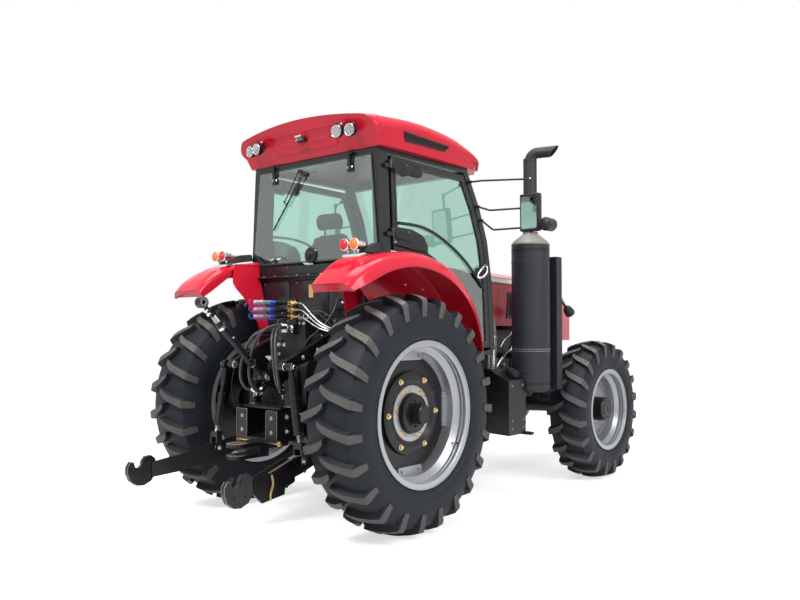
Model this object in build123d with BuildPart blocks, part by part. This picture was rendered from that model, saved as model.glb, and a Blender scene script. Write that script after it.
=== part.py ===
"""Farm tractor with four driven wheels, a closed cab and a rear three-point linkage.

Millimetres. +Z is up, the nose points to -Y and the tractor's left side is +X. The origin is on
the ground under the middle of the bounding box. Lengths along the tractor are given from the rear
axle, positive to the rear, and at() turns them into the model's Y.
"""
from build123d import *
from math import atan2, cos, degrees, radians, sin, sqrt
import os

os.makedirs("parts", exist_ok=True)

# ------------------------------------------------------------------ driving dimensions
WHEELBASE = 2770.0
REAR_AXLE_Y = 1240.0          # rear axle, behind the origin
REAR_TRACK = 1730.0
FRONT_TRACK = 1860.0
RUNNING_FIT = 0.05            # radial clearance of a shaft in its bore
SEAT_GAP = 0.3                # gap between pieces that seat on each other

# tyre and rim sizes: outer radius, section width, tread width, bead seat radius, rim width
REAR_WHEEL = dict(radius=835.0, section=430.0, tread=400.0, seat=482.6, rim=381.0, wall=22.0)
FRONT_WHEEL = dict(radius=650.0, section=345.0, tread=318.0, seat=355.6, rim=305.0, wall=18.0)
RIM_FLANGE = 25.4             # flange height above the bead seat
RIM_STEEL = 9.0               # thickness of the rolled rim

REAR_DISC_OFFSET = 40.0       # outer face of the rear disc from the wheel's middle plane
REAR_HUB_R = 142.0
REAR_WEIGHT_R = 295.0         # cast centre ring bolted to the rear disc
REAR_SHAFT_R = 55.0
TRUMPET_END = 585.0           # outer end of the rear axle housing
TRUMPET_R = 120.0

KINGPIN_X = 690.0
KINGPIN_R = 22.0
KINGPIN_BOSS_R = 68.0
KINGPIN_BOSS_HALF = 70.0      # half height of the beam's end boss
KNUCKLE_ARM = 30.0            # thickness of the knuckle's two arms
KNUCKLE_GAP = 0.5             # washer gap between boss and arm
SPINDLE_R = 45.0
STEERING_ARM = 150.0          # kingpin to tie rod ball, behind the axle

CAB_REAR = 85.0               # outer face of the rear window, behind the rear axle
CAB_FLOOR_Z = 1235.0
CAB_SIDE_X = 745.0            # outer side of the cab at the floor
CAB_LEAN = 2.6                # degrees that the cab's sides lean in
CAB_TOP_Z = 2705.0
POST = 62.0                   # width of the cab's posts
DOOR_HINGE = -40.0            # door hinge line, from the rear axle
DOOR_THICK = 34.0
DOOR_BORDER = 46.0
GLASS = 6.0

FENDER_R = 1130.0             # fender crown about the rear axle
FENDER_INNER_X = 615.0
FENDER_OUTER_X = 1000.0
FENDER_SHEET = 8.0
FENDER_EDGE_R = 1020.0        # lower edge of the fender's rolled side

HOOD_REAR = -1425.0
HOOD_SHEET = 8.0

LINK_PIVOT = (120.0, 620.0)   # lower link front pins: behind the axle, height
LINK_HOOK = (1234.0, 448.0)
LINK_FRONT_X = 400.0
LINK_HOOK_X = 536.0
LIFT_PIVOT = (165.0, 1320.0)  # rockshaft
LIFT_END = (608.0, 1159.0)
ROCKSHAFT_R = 38.0
TOP_LINK_PIN = (563.0, 1080.0)
TOP_LINK_EYE = (1085.0, 1600.0)
TOP_LINK_PIN_R = 12.7
HITCH_HALF = 222.0            # half width of the hitch bracket
HITCH_BACK = 612.0            # rear face of its flanges
CLEVIS_BACK = 780.0           # drawbar pin, behind the axle
DRAWBAR_PIN_HOLE_R = 16.5
PTO_R = 17.45                 # 1 3/8 inch power take-off shaft
PTO_Z = 700.0


def at(back):
    """Model Y of a place given from the rear axle, positive to the rear."""
    return REAR_AXLE_Y + back


FRONT_AXLE = -WHEELBASE
ENGINE_REAR = -1375.0


# ------------------------------------------------------------------ helpers
def keep(piece, name):
    """Label a finished piece and write it as its own STEP file."""
    piece.part.label = name
    export_step(piece.part, f"parts/{name}.step")


def mirrored(piece):
    """The same piece for the other side of the tractor."""
    with BuildPart() as other:
        add(mirror(piece.part, about=Plane.YZ))
    return other


def block(x, back, z, mode=Mode.ADD):
    """Straight block between two places on each axis: x, along the tractor, height."""
    with Locations(((x[0] + x[1]) / 2, at((back[0] + back[1]) / 2), (z[0] + z[1]) / 2)):
        Box(abs(x[1] - x[0]), abs(back[1] - back[0]), abs(z[1] - z[0]), mode=mode)


def plate(x, points, mode=Mode.ADD):
    """Plate from x[0] to x[1] with a side outline of (back, height) points."""
    with BuildSketch(Plane.YZ.offset(x[0])) as outline:
        with BuildLine():
            Polyline(*[(at(back), z) for back, z in points], close=True)
        make_face()
    extrude(outline.sketch, amount=x[1] - x[0], mode=mode)


def rod(start, end, radius, mode=Mode.ADD):
    """Round bar between two (x, back, z) places."""
    first = Vector(start[0], at(start[1]), start[2])
    last = Vector(end[0], at(end[1]), end[2])
    with BuildSketch(Plane(origin=first, z_dir=last - first)) as section:
        Circle(radius)
    extrude(section.sketch, amount=(last - first).length, mode=mode)


def pipe(points, bend, radius):
    """Bent round tube through (x, back, z) places, with arcs of one radius at its corners."""
    with BuildLine() as route:
        FilletPolyline(*[(x, at(back), z) for x, back, z in points], radius=bend)
    with BuildSketch(Plane(origin=route.line @ 0, z_dir=route.line % 0)) as section:
        Circle(radius)
    sweep(section.sketch, path=route.line)


def post(low, high, size):
    """Straight post between two (x, back, z) places with a level rectangle at each end."""
    ends = []
    for x, back, z in (low, high):
        with BuildSketch(Plane.XY.offset(z)) as section:
            with Locations((x, at(back))):
                Rectangle(*size)
        ends.append(section.sketch)
    loft(ends)


def wheel_plane(hub, side):
    """Sketch plane through an axle: local x runs outward along the axle, local y is the radius."""
    return Plane(origin=hub, x_dir=(side, 0, 0), z_dir=(0, -side, 0))


def turned(hub, side, points, mode=Mode.ADD):
    """Turned ring about an axle from (outward, radius) points."""
    with BuildSketch(wheel_plane(hub, side)) as profile:
        with BuildLine():
            Polyline(*points, close=True)
        make_face()
    revolve(profile.sketch, axis=Axis(hub, (1, 0, 0)), mode=mode)


# ------------------------------------------------------------------ wheels
def make_tyre(name, hub, side, size):
    """Hollow tyre: crowned tread band, bulged side walls and two beads on the rim."""
    seat = size["seat"] + SEAT_GAP
    heel = size["rim"] / 2
    collar = seat + RIM_FLANGE + 4
    outer, middle = size["radius"], (size["radius"] + seat) / 2
    bulge, shoulder = size["section"] / 2, size["tread"] / 2
    drop = 0.05 * outer
    wall, band = size["wall"], 2.2 * size["wall"]
    with BuildPart() as tyre:
        with BuildSketch(wheel_plane(hub, side)):
            with BuildLine():
                Line((heel, seat), (heel, collar))
                ThreePointArc((heel, collar), (bulge, middle), (shoulder, outer - drop))
                ThreePointArc((shoulder, outer - drop), (0, outer), (-shoulder, outer - drop))
                ThreePointArc((-shoulder, outer - drop), (-bulge, middle), (-heel, collar))
                Polyline((-heel, collar), (-heel, seat), (-heel + 1.6 * wall, seat))
                ThreePointArc((-heel + 1.6 * wall, seat), (-bulge + wall, middle),
                              (-shoulder + 1.4 * wall, outer - drop - band))
                ThreePointArc((-shoulder + 1.4 * wall, outer - drop - band), (0, outer - band),
                              (shoulder - 1.4 * wall, outer - drop - band))
                ThreePointArc((shoulder - 1.4 * wall, outer - drop - band),
                              (bulge - wall, middle), (heel - 1.6 * wall, seat))
                Line((heel - 1.6 * wall, seat), (heel, seat))
            make_face()
        revolve(axis=Axis(hub, (1, 0, 0)))
    keep(tyre, name)


def rim_outline(size):
    """Rolled rim from flange to flange, with bead seats and a drop centre."""
    seat, steel = size["seat"], RIM_STEEL
    edge, well = size["rim"] / 2 + SEAT_GAP, size["seat"] - 0.09 * size["seat"]
    top = [(edge + steel, seat + RIM_FLANGE), (edge, seat + RIM_FLANGE), (edge, seat),
           (edge - 52, seat), (edge - 84, well)]
    under = [(edge - 84 - 4, well - steel), (edge - 52 - 4, seat - steel), (edge + steel, seat - steel)]
    return (top + [(-a, r) for a, r in reversed(top)]
            + [(-a, r) for a, r in reversed(under)] + under)


def make_rear_wheel(label, side):
    """Rear tyre, silver rim with welded lugs, and the black disc, weight ring and hub."""
    size = REAR_WHEEL
    centre = (side * REAR_TRACK / 2, REAR_AXLE_Y, size["radius"])
    make_tyre(f"tyre_rear_{label}", centre, side, size)
    well = size["seat"] * 0.91 - RIM_STEEL
    lug_r, lug_thick = well - 62, 12.0
    with BuildPart() as rim:
        turned(centre, side, rim_outline(size))
        with BuildSketch(Plane(origin=centre, x_dir=(0, 1, 0), z_dir=(side, 0, 0))
                         .offset(REAR_DISC_OFFSET)):
            with PolarLocations((lug_r + well + 6) / 2, 4):
                Rectangle(well + 6 - lug_r, 250)
            Circle(well + 4, mode=Mode.INTERSECT)
        extrude(amount=lug_thick)
    keep(rim, f"rim_rear_{label}")

    shaft_start = TRUMPET_END + 5 - REAR_TRACK / 2
    disc_back = REAR_DISC_OFFSET - 14
    with BuildPart() as hub:
        turned(centre, side, [(shaft_start, 0), (shaft_start, 118), (disc_back - 60, 118),
                              (disc_back, 175), (disc_back, lug_r + 34),
                              (REAR_DISC_OFFSET, lug_r + 34), (REAR_DISC_OFFSET, REAR_WEIGHT_R),
                              (REAR_DISC_OFFSET + 26, REAR_WEIGHT_R - 4),
                              (REAR_DISC_OFFSET + 34, REAR_WEIGHT_R - 30),
                              (REAR_DISC_OFFSET + 34, 232), (REAR_DISC_OFFSET + 20, 205),
                              (REAR_DISC_OFFSET + 20, REAR_HUB_R),
                              (REAR_DISC_OFFSET + 52, REAR_HUB_R - 8),
                              (REAR_DISC_OFFSET + 60, REAR_HUB_R - 40),
                              (REAR_DISC_OFFSET + 60, 72), (REAR_DISC_OFFSET + 138, 66),
                              (REAR_DISC_OFFSET + 146, 56), (REAR_DISC_OFFSET + 146, 0)])
        turned(centre, side, [(shaft_start - 90, 0), (shaft_start - 90, REAR_SHAFT_R - RUNNING_FIT),
                              (shaft_start + 10, REAR_SHAFT_R - RUNNING_FIT), (shaft_start + 10, 0)])
    keep(hub, f"hub_rear_{label}")


def make_front_wheel(label, side):
    """Front tyre, silver rim with its dished disc, and the black planetary hub."""
    size = FRONT_WHEEL
    centre = (side * FRONT_TRACK / 2, at(FRONT_AXLE), size["radius"])
    make_tyre(f"tyre_front_{label}", centre, side, size)
    well = size["seat"] * 0.91 - RIM_STEEL
    with BuildPart() as rim:
        turned(centre, side, rim_outline(size))
        turned(centre, side, [(-30, well + 4), (-30, well - 30), (-2, 215), (-2, 112.5), (10, 112.5),
                              (10, 222), (-18, well - 26), (-18, well + 4)])
    keep(rim, f"rim_front_{label}")
    inner = KINGPIN_X + 136 - FRONT_TRACK / 2
    with BuildPart() as hub:
        turned(centre, side, [(inner, SPINDLE_R + RUNNING_FIT), (inner, 100), (-60, 112),
                              (-60, 150), (-2.3, 150), (-2.3, 112), (96, 112), (100, 106),
                              (106, 112), (126, 111), (134, 102), (134, 0), (-20, 0),
                              (-20, SPINDLE_R + RUNNING_FIT)])
    keep(hub, f"hub_front_{label}")


for label, side in (("left", 1), ("right", -1)):
    make_rear_wheel(label, side)
    make_front_wheel(label, side)


# ------------------------------------------------------------------ driveline and frame
REAR_AXLE_Z = REAR_WHEEL["radius"]
FRONT_AXLE_Z = FRONT_WHEEL["radius"]

with BuildPart() as transmission:
    plate((-215, 215), [(ENGINE_REAR + SEAT_GAP, 700), (ENGINE_REAR + SEAT_GAP, 1130), (-500, 1130), (-420, 1190), (300, 1190),
                        (330, 1150), (330, 640), (280, 560), (-420, 560), (-520, 640)])
    block((-170, 170), (95, 300), (1180, 1440))
    # rubber mounts under the cab
    for back in (-1150, -60):
        for side in (1, -1):
            with BuildSketch(Plane.XY.offset(1120)) as mount:
                with Locations((side * 160, at(back))):
                    Circle(45)
            extrude(mount.sketch, amount=CAB_FLOOR_Z - 35 - SEAT_GAP - 1120)
    for side in (1, -1):
        hub = (0, REAR_AXLE_Y, REAR_AXLE_Z)
        turned(hub, side, [(200, 0), (200, 195), (270, 190), (330, TRUMPET_R + 15),
                           (TRUMPET_END - 30, TRUMPET_R - 10), (TRUMPET_END - 30, TRUMPET_R + 20),
                           (TRUMPET_END, TRUMPET_R + 20), (TRUMPET_END, 0)])
        turned(hub, side, [(TRUMPET_END - 100, 0), (TRUMPET_END - 100, REAR_SHAFT_R),
                           (TRUMPET_END + 1, REAR_SHAFT_R), (TRUMPET_END + 1, 0)],
               mode=Mode.SUBTRACT)
    # rear cover, power take-off stub and the rockshaft's two bearings
    block((-150, 150), (325, 360), (600, 1120))
    rod((0, 355, PTO_Z), (0, 450, PTO_Z), PTO_R)
    rod((0, 355, PTO_Z), (0, 372, PTO_Z), 48)
    for side in (1, -1):
        rod((side * 160, *LIFT_PIVOT), (side * 236, *LIFT_PIVOT), 70)
        # lower link brackets under the axle
        plate((side * (LINK_FRONT_X - 50), side * (LINK_FRONT_X - 30)),
              [(-60, 720), (180, 720), (180, 570), (60, 570)])
        block((side * 200, side * (LINK_FRONT_X - 35)), (-60, 100), (690, 730))
    rod((-240, *LIFT_PIVOT), (240, *LIFT_PIVOT), ROCKSHAFT_R + RUNNING_FIT, mode=Mode.SUBTRACT)
keep(transmission, "transmission")

with BuildPart() as engine:
    block((-250, 250), (-2355, ENGINE_REAR), (720, 1400))
    block((-180, 180), (-2300, ENGINE_REAR - 40), (640, 725))
keep(engine, "engine")

with BuildPart() as front_frame:
    plate((-230, 230), [(-2355, 720), (-2355, 1000), (-3300, 1000), (-3420, 900), (-3420, 780),
                        (-3050, 780), (-3000, 860), (-2520, 860), (-2480, 720)])
    block((-260, 260), (-2380, -2355.3), (700, 1250))
    # radiator and its surround
    block((-290, 290), (-3120, -2960), (1000, 1560))
keep(front_frame, "front_frame")

with BuildPart() as front_axle:
    hub = (0, at(FRONT_AXLE), FRONT_AXLE_Z)
    turned(hub, 1, [(-KINGPIN_X + 40, 0), (-KINGPIN_X + 40, 52), (-190, 75), (-150, 145), (-60, 160),
                    (60, 160), (150, 145), (190, 75), (KINGPIN_X - 40, 52), (KINGPIN_X - 40, 0)])
    # trunnions that hang the beam under the frame
    for back in (FRONT_AXLE - 208, FRONT_AXLE + 208):
        rod((0, back - 22, 700), (0, back + 22, 700), 70)
        block((-110, 110), (back - 22, back + 22), (715, 859.7))
    rod((0, FRONT_AXLE - 220, 700), (0, FRONT_AXLE + 220, 700), 60)
    for side in (1, -1):
        with BuildSketch(Plane.XY.offset(FRONT_AXLE_Z - KINGPIN_BOSS_HALF)):
            with Locations((side * KINGPIN_X, at(FRONT_AXLE))):
                Circle(KINGPIN_BOSS_R)
        extrude(amount=2 * KINGPIN_BOSS_HALF)
        with Locations((side * KINGPIN_X, at(FRONT_AXLE), FRONT_AXLE_Z)):
            Cylinder(KINGPIN_R + RUNNING_FIT, 2 * KINGPIN_BOSS_HALF + 2, mode=Mode.SUBTRACT)
keep(front_axle, "front_axle")

ARM_LOW = FRONT_AXLE_Z - KINGPIN_BOSS_HALF - KNUCKLE_GAP - KNUCKLE_ARM
ARM_HIGH = FRONT_AXLE_Z + KINGPIN_BOSS_HALF + KNUCKLE_GAP
BALL_Z = ARM_HIGH + KNUCKLE_ARM + 50

with BuildPart() as knuckle_left:
    for z in (ARM_LOW, ARM_HIGH):
        with BuildSketch(Plane.XY.offset(z)):
            with Locations((KINGPIN_X, at(FRONT_AXLE))):
                Circle(KINGPIN_BOSS_R - 4)
            with Locations((KINGPIN_X + 65, at(FRONT_AXLE))):
                Rectangle(130, 120)
        extrude(amount=KNUCKLE_ARM)
    block((KINGPIN_X + 90, KINGPIN_X + 130), (FRONT_AXLE - 75, FRONT_AXLE + 75),
          (ARM_LOW, ARM_HIGH + KNUCKLE_ARM))
    # kingpins
    for low, high in ((ARM_LOW + 5, ARM_LOW + 75), (ARM_HIGH - 45, ARM_HIGH + 25)):
        rod((KINGPIN_X, FRONT_AXLE, low), (KINGPIN_X, FRONT_AXLE, high), KINGPIN_R)
    # spindle for the hub, and the steering arm to the tie rod
    rod((KINGPIN_X + 120, FRONT_AXLE, FRONT_AXLE_Z),
        (FRONT_TRACK / 2 - 26, FRONT_AXLE, FRONT_AXLE_Z), SPINDLE_R)
    with BuildSketch(Plane.XY.offset(ARM_HIGH)):
        with Locations((KINGPIN_X, at(FRONT_AXLE + STEERING_ARM / 2))):
            Rectangle(50, STEERING_ARM)
        with Locations((KINGPIN_X, at(FRONT_AXLE + STEERING_ARM))):
            Circle(32)
    extrude(amount=KNUCKLE_ARM)
    rod((KINGPIN_X, FRONT_AXLE + STEERING_ARM, ARM_HIGH + KNUCKLE_ARM - 5),
        (KINGPIN_X, FRONT_AXLE + STEERING_ARM, BALL_Z - 8), 13.7)
keep(knuckle_left, "knuckle_left")
keep(mirrored(knuckle_left), "knuckle_right")

with BuildPart() as tie_rod:
    rod((-KINGPIN_X + 30, FRONT_AXLE + STEERING_ARM, BALL_Z),
        (KINGPIN_X - 30, FRONT_AXLE + STEERING_ARM, BALL_Z), 17)
    for side in (1, -1):
        with BuildSketch(Plane.XY.offset(BALL_Z - 18)):
            with Locations((side * KINGPIN_X, at(FRONT_AXLE + STEERING_ARM))):
                Circle(30)
        extrude(amount=36)
        rod((side * (KINGPIN_X - 35), FRONT_AXLE + STEERING_ARM, BALL_Z),
            (side * (KINGPIN_X - 5), FRONT_AXLE + STEERING_ARM, BALL_Z), 20)
        rod((side * KINGPIN_X, FRONT_AXLE + STEERING_ARM, BALL_Z - 20),
            (side * KINGPIN_X, FRONT_AXLE + STEERING_ARM, BALL_Z - 3), 14, mode=Mode.SUBTRACT)
keep(tie_rod, "tie_rod")

with BuildPart() as front_weights:
    block((-170, 170), (-3560, -3420.3), (800, 900))
    block((-300, 300), (-3620, -3560), (760, 940))
    for x in range(-270, 271, 90):
        plate((x - 40, x + 40), [(-3620.3, 600), (-3620.3, 1010), (-3720, 1010), (-3780, 960),
                                 (-3780, 640), (-3740, 600)])
keep(front_weights, "front_weights")


# ------------------------------------------------------------------ hood
# sections from the rear to the nose: back, half width, bottom, shoulder, crown
HOOD_SECTIONS = [(HOOD_REAR, 410, 1450, 1905, 1985),
                 (-2350, 405, 1440, 1880, 1965),
                 (-3120, 385, 1300, 1780, 1870),
                 (-3420, 330, 1290, 1600, 1660)]


def hood_loft(inset, mode):
    """Hood outline carried through its sections, moved in by the sheet's thickness."""
    faces = []
    for back, half, bottom, shoulder, crown in HOOD_SECTIONS:
        w, top = half - inset, crown - inset
        low = bottom if inset == 0 else bottom - 40
        with BuildSketch(Plane.XZ.offset(-at(back))) as section:
            with BuildLine():
                Polyline((-w, shoulder - inset), (-w, low), (w, low), (w, shoulder - inset))
                ThreePointArc((w, shoulder - inset), (0, top), (-w, shoulder - inset))
            make_face()
        faces.append(section.sketch)
    loft(faces, ruled=True, mode=mode)


HOOD_PIVOT = (HOOD_REAR - 25, 1926.0)
HOOD_PIN_R = 9.0
HOOD_LUG_X = 240.0
with BuildPart() as hood:
    hood_loft(0, Mode.ADD)
    hood_loft(HOOD_SHEET, Mode.SUBTRACT)
    # hinge lugs under the rear edge
    for side in (1, -1):
        back, z = HOOD_PIVOT
        plate((side * HOOD_LUG_X, side * (HOOD_LUG_X + 18)),
              [(back - 18, z - 10), (back - 10, z - 18), (back + 10, z - 18), (back + 18, z - 10),
               (back + 20, z + 24), (back - 20, z + 24)])
        rod((side * (HOOD_LUG_X - 5), back, z), (side * (HOOD_LUG_X + 23), back, z),
            HOOD_PIN_R + RUNNING_FIT, mode=Mode.SUBTRACT)
keep(hood, "hood")

with BuildPart() as grille:
    with BuildSketch(Plane.XZ.offset(-at(HOOD_SECTIONS[-1][0] + 30))):
        back, half, bottom, shoulder, crown = HOOD_SECTIONS[-1]
        w = half - HOOD_SHEET - SEAT_GAP + 1
        with BuildLine():
            Polyline((-w, shoulder - 12), (-w, bottom), (w, bottom), (w, shoulder - 12), close=True)
        make_face()
    extrude(amount=24)
keep(grille, "grille")

with BuildPart() as headlamps:
    for side in (1, -1):
        with Locations((side * 250, at(HOOD_SECTIONS[-1][0] - 12), 1520)):
            Box(130, 36, 110)
keep(headlamps, "headlamps")


# ------------------------------------------------------------------ cab
def side_plane():
    """Leaning plane of the cab's left side: local x along the tractor, local y up the side."""
    tilt = radians(CAB_LEAN)
    return Plane(origin=(CAB_SIDE_X, 0, CAB_FLOOR_Z), x_dir=(0, 1, 0), z_dir=(cos(tilt), 0, sin(tilt)))


def side_x(z):
    """Outer side of the cab at a height."""
    return CAB_SIDE_X - (z - CAB_FLOOR_Z) * sin(radians(CAB_LEAN)) / cos(radians(CAB_LEAN))


def sill_height(back):
    """Door's lower edge over the fender: the fender's height under the door as it swings out."""
    reach = FENDER_OUTER_X - CAB_SIDE_X + 40
    swing = max((DOOR_HINGE - back) ** 2 - reach ** 2, 0) ** 0.5
    fender = REAR_AXLE_Z + sqrt(max(FENDER_R ** 2 - (DOOR_HINGE - swing) ** 2, 0))
    return fender + 32


SILL_BACKS = [-60, -360, -520, -680, -820, -930, -985]
DOOR_FRONT = [(-1258, 1262), (-1258, 1800), (-1208, 2150), (-1112, 2420), (-975, 2672)]
DOOR_OUTLINE = ([(-1045, 1262)] + DOOR_FRONT + [(-60, 2690)]
                + [(back, sill_height(back)) for back in SILL_BACKS] + [(-1045, 1400)])


def on_side(depth, points, inset=0.0):
    """Outline on the cab's leaning side, a depth inside its face, moved in from its edge."""
    with BuildSketch(side_plane().offset(-depth)) as outline:
        with BuildLine():
            Polyline(*[(at(back), (z - CAB_FLOOR_Z) / cos(radians(CAB_LEAN))) for back, z in points],
                     close=True)
        make_face()
        if inset:
            offset(amount=-inset, kind=Kind.INTERSECTION, mode=Mode.REPLACE)
    return outline.sketch


HINGE_OUT = 16.0              # hinge line, outside the cab's side
HINGE_PIN_R = 8.0
HINGE_HEIGHTS = [(z - CAB_FLOOR_Z) / cos(radians(CAB_LEAN)) for z in (2120.0, 2620.0)]


def hinge_knuckle(height, length, radius, mode):
    """Round of a door hinge about the hinge line, from a height up the cab's side."""
    plane = side_plane()
    foot = plane.from_local_coords(Vector(at(DOOR_HINGE), height, HINGE_OUT))
    with BuildSketch(Plane(origin=foot, z_dir=plane.y_dir)) as section:
        Circle(radius)
    extrude(section.sketch, amount=length, mode=mode)


with BuildPart() as door_left:
    extrude(on_side(DOOR_THICK, DOOR_OUTLINE), amount=DOOR_THICK)
    extrude(on_side(DOOR_THICK + 1, DOOR_OUTLINE, DOOR_BORDER), amount=DOOR_THICK + 2,
            mode=Mode.SUBTRACT)
    for height in HINGE_HEIGHTS:
        with BuildSketch(side_plane().offset(SEAT_GAP - 1)) as cover:
            with BuildLine():
                Polyline((at(DOOR_HINGE) - 5, height + 28), (at(DOOR_HINGE) - 190, height + 28),
                         (at(DOOR_HINGE) - 205, height + 10), (at(DOOR_HINGE) - 205, height - 60),
                         (at(DOOR_HINGE) - 20, height - 30), close=True)
            make_face()
        extrude(cover.sketch, amount=HINGE_OUT + 10)
        hinge_knuckle(height, 28, HINGE_OUT - 1, Mode.ADD)
        hinge_knuckle(height - 1, 30, HINGE_PIN_R + RUNNING_FIT, Mode.SUBTRACT)
        hinge_knuckle(height - 90, 90, HINGE_OUT + 1, Mode.SUBTRACT)
keep(door_left, "door_left")
keep(mirrored(door_left), "door_right")

with BuildPart() as door_glass_left:
    extrude(on_side(GLASS + 8, DOOR_OUTLINE, DOOR_BORDER + SEAT_GAP), amount=GLASS)
keep(door_glass_left, "door_glass_left")
keep(mirrored(door_glass_left), "door_glass_right")

FRONT_POST = [(-1300, 1240), (-1300, 1800), (-1253, 2150), (-1160, 2420), (-1010, CAB_TOP_Z)]
FRONT_POST_DEPTH = 66.0
REAR_POST = (-35.0, CAB_REAR - GLASS - SEAT_GAP)
FENDER_TOP_Z = REAR_AXLE_Z + FENDER_R
WALL_X = FENDER_INNER_X - SEAT_GAP      # outer face of the cab's side wall


WINDOW_PIVOT = (102.0, 2713.0)
WINDOW_HINGE_X = 420.0
WINDOW_PIN_R = 6.0


def front_post_back(z):
    """Middle of the front post at a height."""
    for (low_back, low), (high_back, high) in zip(FRONT_POST, FRONT_POST[1:]):
        if z <= high:
            return low_back + (high_back - low_back) * (z - low) / (high - low)
    return FRONT_POST[-1][0]


with BuildPart() as cab_frame:
    def post_x(z):
        return side_x(z) - POST / 2 - 2

    # left half, mirrored at the end
    top = CAB_TOP_Z + 30
    middle, depth = sum(REAR_POST) / 2, REAR_POST[1] - REAR_POST[0]
    foot = FENDER_TOP_Z + SEAT_GAP
    post((post_x(foot), middle, foot), (post_x(CAB_TOP_Z), middle, CAB_TOP_Z), (POST, depth))
    block((WALL_X - 40, post_x(foot)), REAR_POST, (foot, foot + 36))
    block((WALL_X - 40, WALL_X), REAR_POST, (1850, foot + 36))
    for (low_back, low_z), (high_back, high_z) in zip(FRONT_POST, FRONT_POST[1:]):
        post((post_x(low_z), low_back, low_z), (post_x(high_z), high_back, high_z),
             (POST, FRONT_POST_DEPTH))
    block((side_x(CAB_TOP_Z) - POST, side_x(CAB_TOP_Z) - 4), (-1040, 60), (CAB_TOP_Z - 8, top))
    # hinge lugs and pins on the rear posts
    for height in HINGE_HEIGHTS:
        with BuildSketch(side_plane().offset(-8)) as lug:
            with BuildLine():
                Polyline((at(DOOR_HINGE) - 5, height - 30), (at(DOOR_HINGE) + 60, height - 30),
                         (at(DOOR_HINGE) + 60, height - SEAT_GAP),
                         (at(DOOR_HINGE) - 5, height - SEAT_GAP), close=True)
            make_face()
        extrude(lug.sketch, amount=HINGE_OUT + 12)
        hinge_knuckle(height - 30, 30 - SEAT_GAP, HINGE_OUT - 2, Mode.ADD)
        hinge_knuckle(height - 30, 57, HINGE_PIN_R, Mode.ADD)
    width = side_x(CAB_TOP_Z) - 6
    block((-width, width), (-1043, -980), (CAB_TOP_Z - 25, top))
    block((-width, width), (0, REAR_POST[1]), (CAB_TOP_Z - 25, top))
    block((-WALL_X, WALL_X), REAR_POST, (1850, 1915))
    # rear window hinge brackets and pins
    back, z = WINDOW_PIVOT
    block((WINDOW_HINGE_X + 14, WINDOW_HINGE_X + 30), (REAR_POST[1] - 4, back + 8), (z - 8, z + 9))
    rod((WINDOW_HINGE_X - 14, back, z), (WINDOW_HINGE_X + 20, back, z), WINDOW_PIN_R)
    mirror(about=Plane.YZ)
keep(cab_frame, "cab_frame")

with BuildPart() as cab_floor:
    block((-WALL_X, WALL_X), (-1330, 75), (CAB_FLOOR_Z - 35, CAB_FLOOR_Z))
    for side in (1, -1):
        block((side * 600, side * 730), (-1330, -1050), (CAB_FLOOR_Z - 35, CAB_FLOOR_Z))
        # side wall up to the door's lower edge
        wall = [(-1041, CAB_FLOOR_Z - 10), (-1041, 1390)]
        wall += [(back + 4, sill_height(back) - 8) for back in reversed(SILL_BACKS[1:])]
        wall += [(-36, sill_height(-60) - 8), (-36, 1849.7), (40, 1849.7), (40, CAB_FLOOR_Z - 10)]
        plate((side * (WALL_X - 28), side * WALL_X), wall)
    block((-WALL_X, WALL_X), (40, 75), (CAB_FLOOR_Z - 35, 1849.7))
    # firewall under the windscreen
    block((-650, 650), (-1335 - 30, -1335), (CAB_FLOOR_Z - 35, 1900))
    block((-650, 650), (-1340, -1328), (CAB_FLOOR_Z - 35, CAB_FLOOR_Z))
    # hood hinge brackets on the firewall
    for side in (1, -1):
        back, z = HOOD_PIVOT
        plate((side * (HOOD_LUG_X + 22), side * (HOOD_LUG_X + 40)),
              [(-1364, 1790), (-1364, 1850), (-1425, 1900), (back + 9, z + 5), (back - 8, z + 7),
               (back - 14, z), (back - 12, z - 12)])
        rod((side * (HOOD_LUG_X - 4), back, z), (side * (HOOD_LUG_X + 30), back, z), HOOD_PIN_R)
keep(cab_floor, "cab_floor")

with BuildPart() as windscreen:
    # bent pane that follows the front posts
    front = FRONT_POST_DEPTH / 2
    pane = [(back - front - SEAT_GAP, z) for back, z in FRONT_POST[2:]]
    first = (-1345.0, 1901.0)
    inner_line = [first] + pane
    outer_line = [(back - GLASS - 1, z) for back, z in inner_line]
    plate((-668, 668), inner_line + outer_line[::-1])
keep(windscreen, "windscreen")

REAR_GLASS = [(-575, 1932), (575, 1932), (690, 2040), (626, CAB_TOP_Z - 12), (-626, CAB_TOP_Z - 12),
              (-690, 2040)]
with BuildPart() as rear_window:
    with BuildSketch(Plane.XZ.offset(-at(CAB_REAR))):
        with BuildLine():
            Polyline(*REAR_GLASS, close=True)
        make_face()
    extrude(amount=GLASS)
keep(rear_window, "rear_window")

with BuildPart() as window_hinges:
    back, z = WINDOW_PIVOT
    face = CAB_REAR + SEAT_GAP
    for side in (1, -1):
        x = side * WINDOW_HINGE_X
        plate((x - 12, x + 12), [(back - 9, z - 6), (back + 12, z - 4), (back + 10, z - 40),
                                 (face + 12, z - 130), (face, z - 134), (face, z - 22)])
        plate((x - 30, x + 30), [(face, z - 60), (face + 8, z - 60), (face + 8, z - 136), (face, z - 136)])
        rod((x - 12, back, z), (x + 12, back, z), 12)
        rod((x - 14, back, z), (x + 14, back, z), WINDOW_PIN_R + RUNNING_FIT, mode=Mode.SUBTRACT)
    # latch plate at the lower edge
    rod((0, face, 1985), (0, face + 10, 1985), 62)
    rod((0, face, 1985), (0, face + 26, 1985), 20)
keep(window_hinges, "window_hinges")

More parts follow.
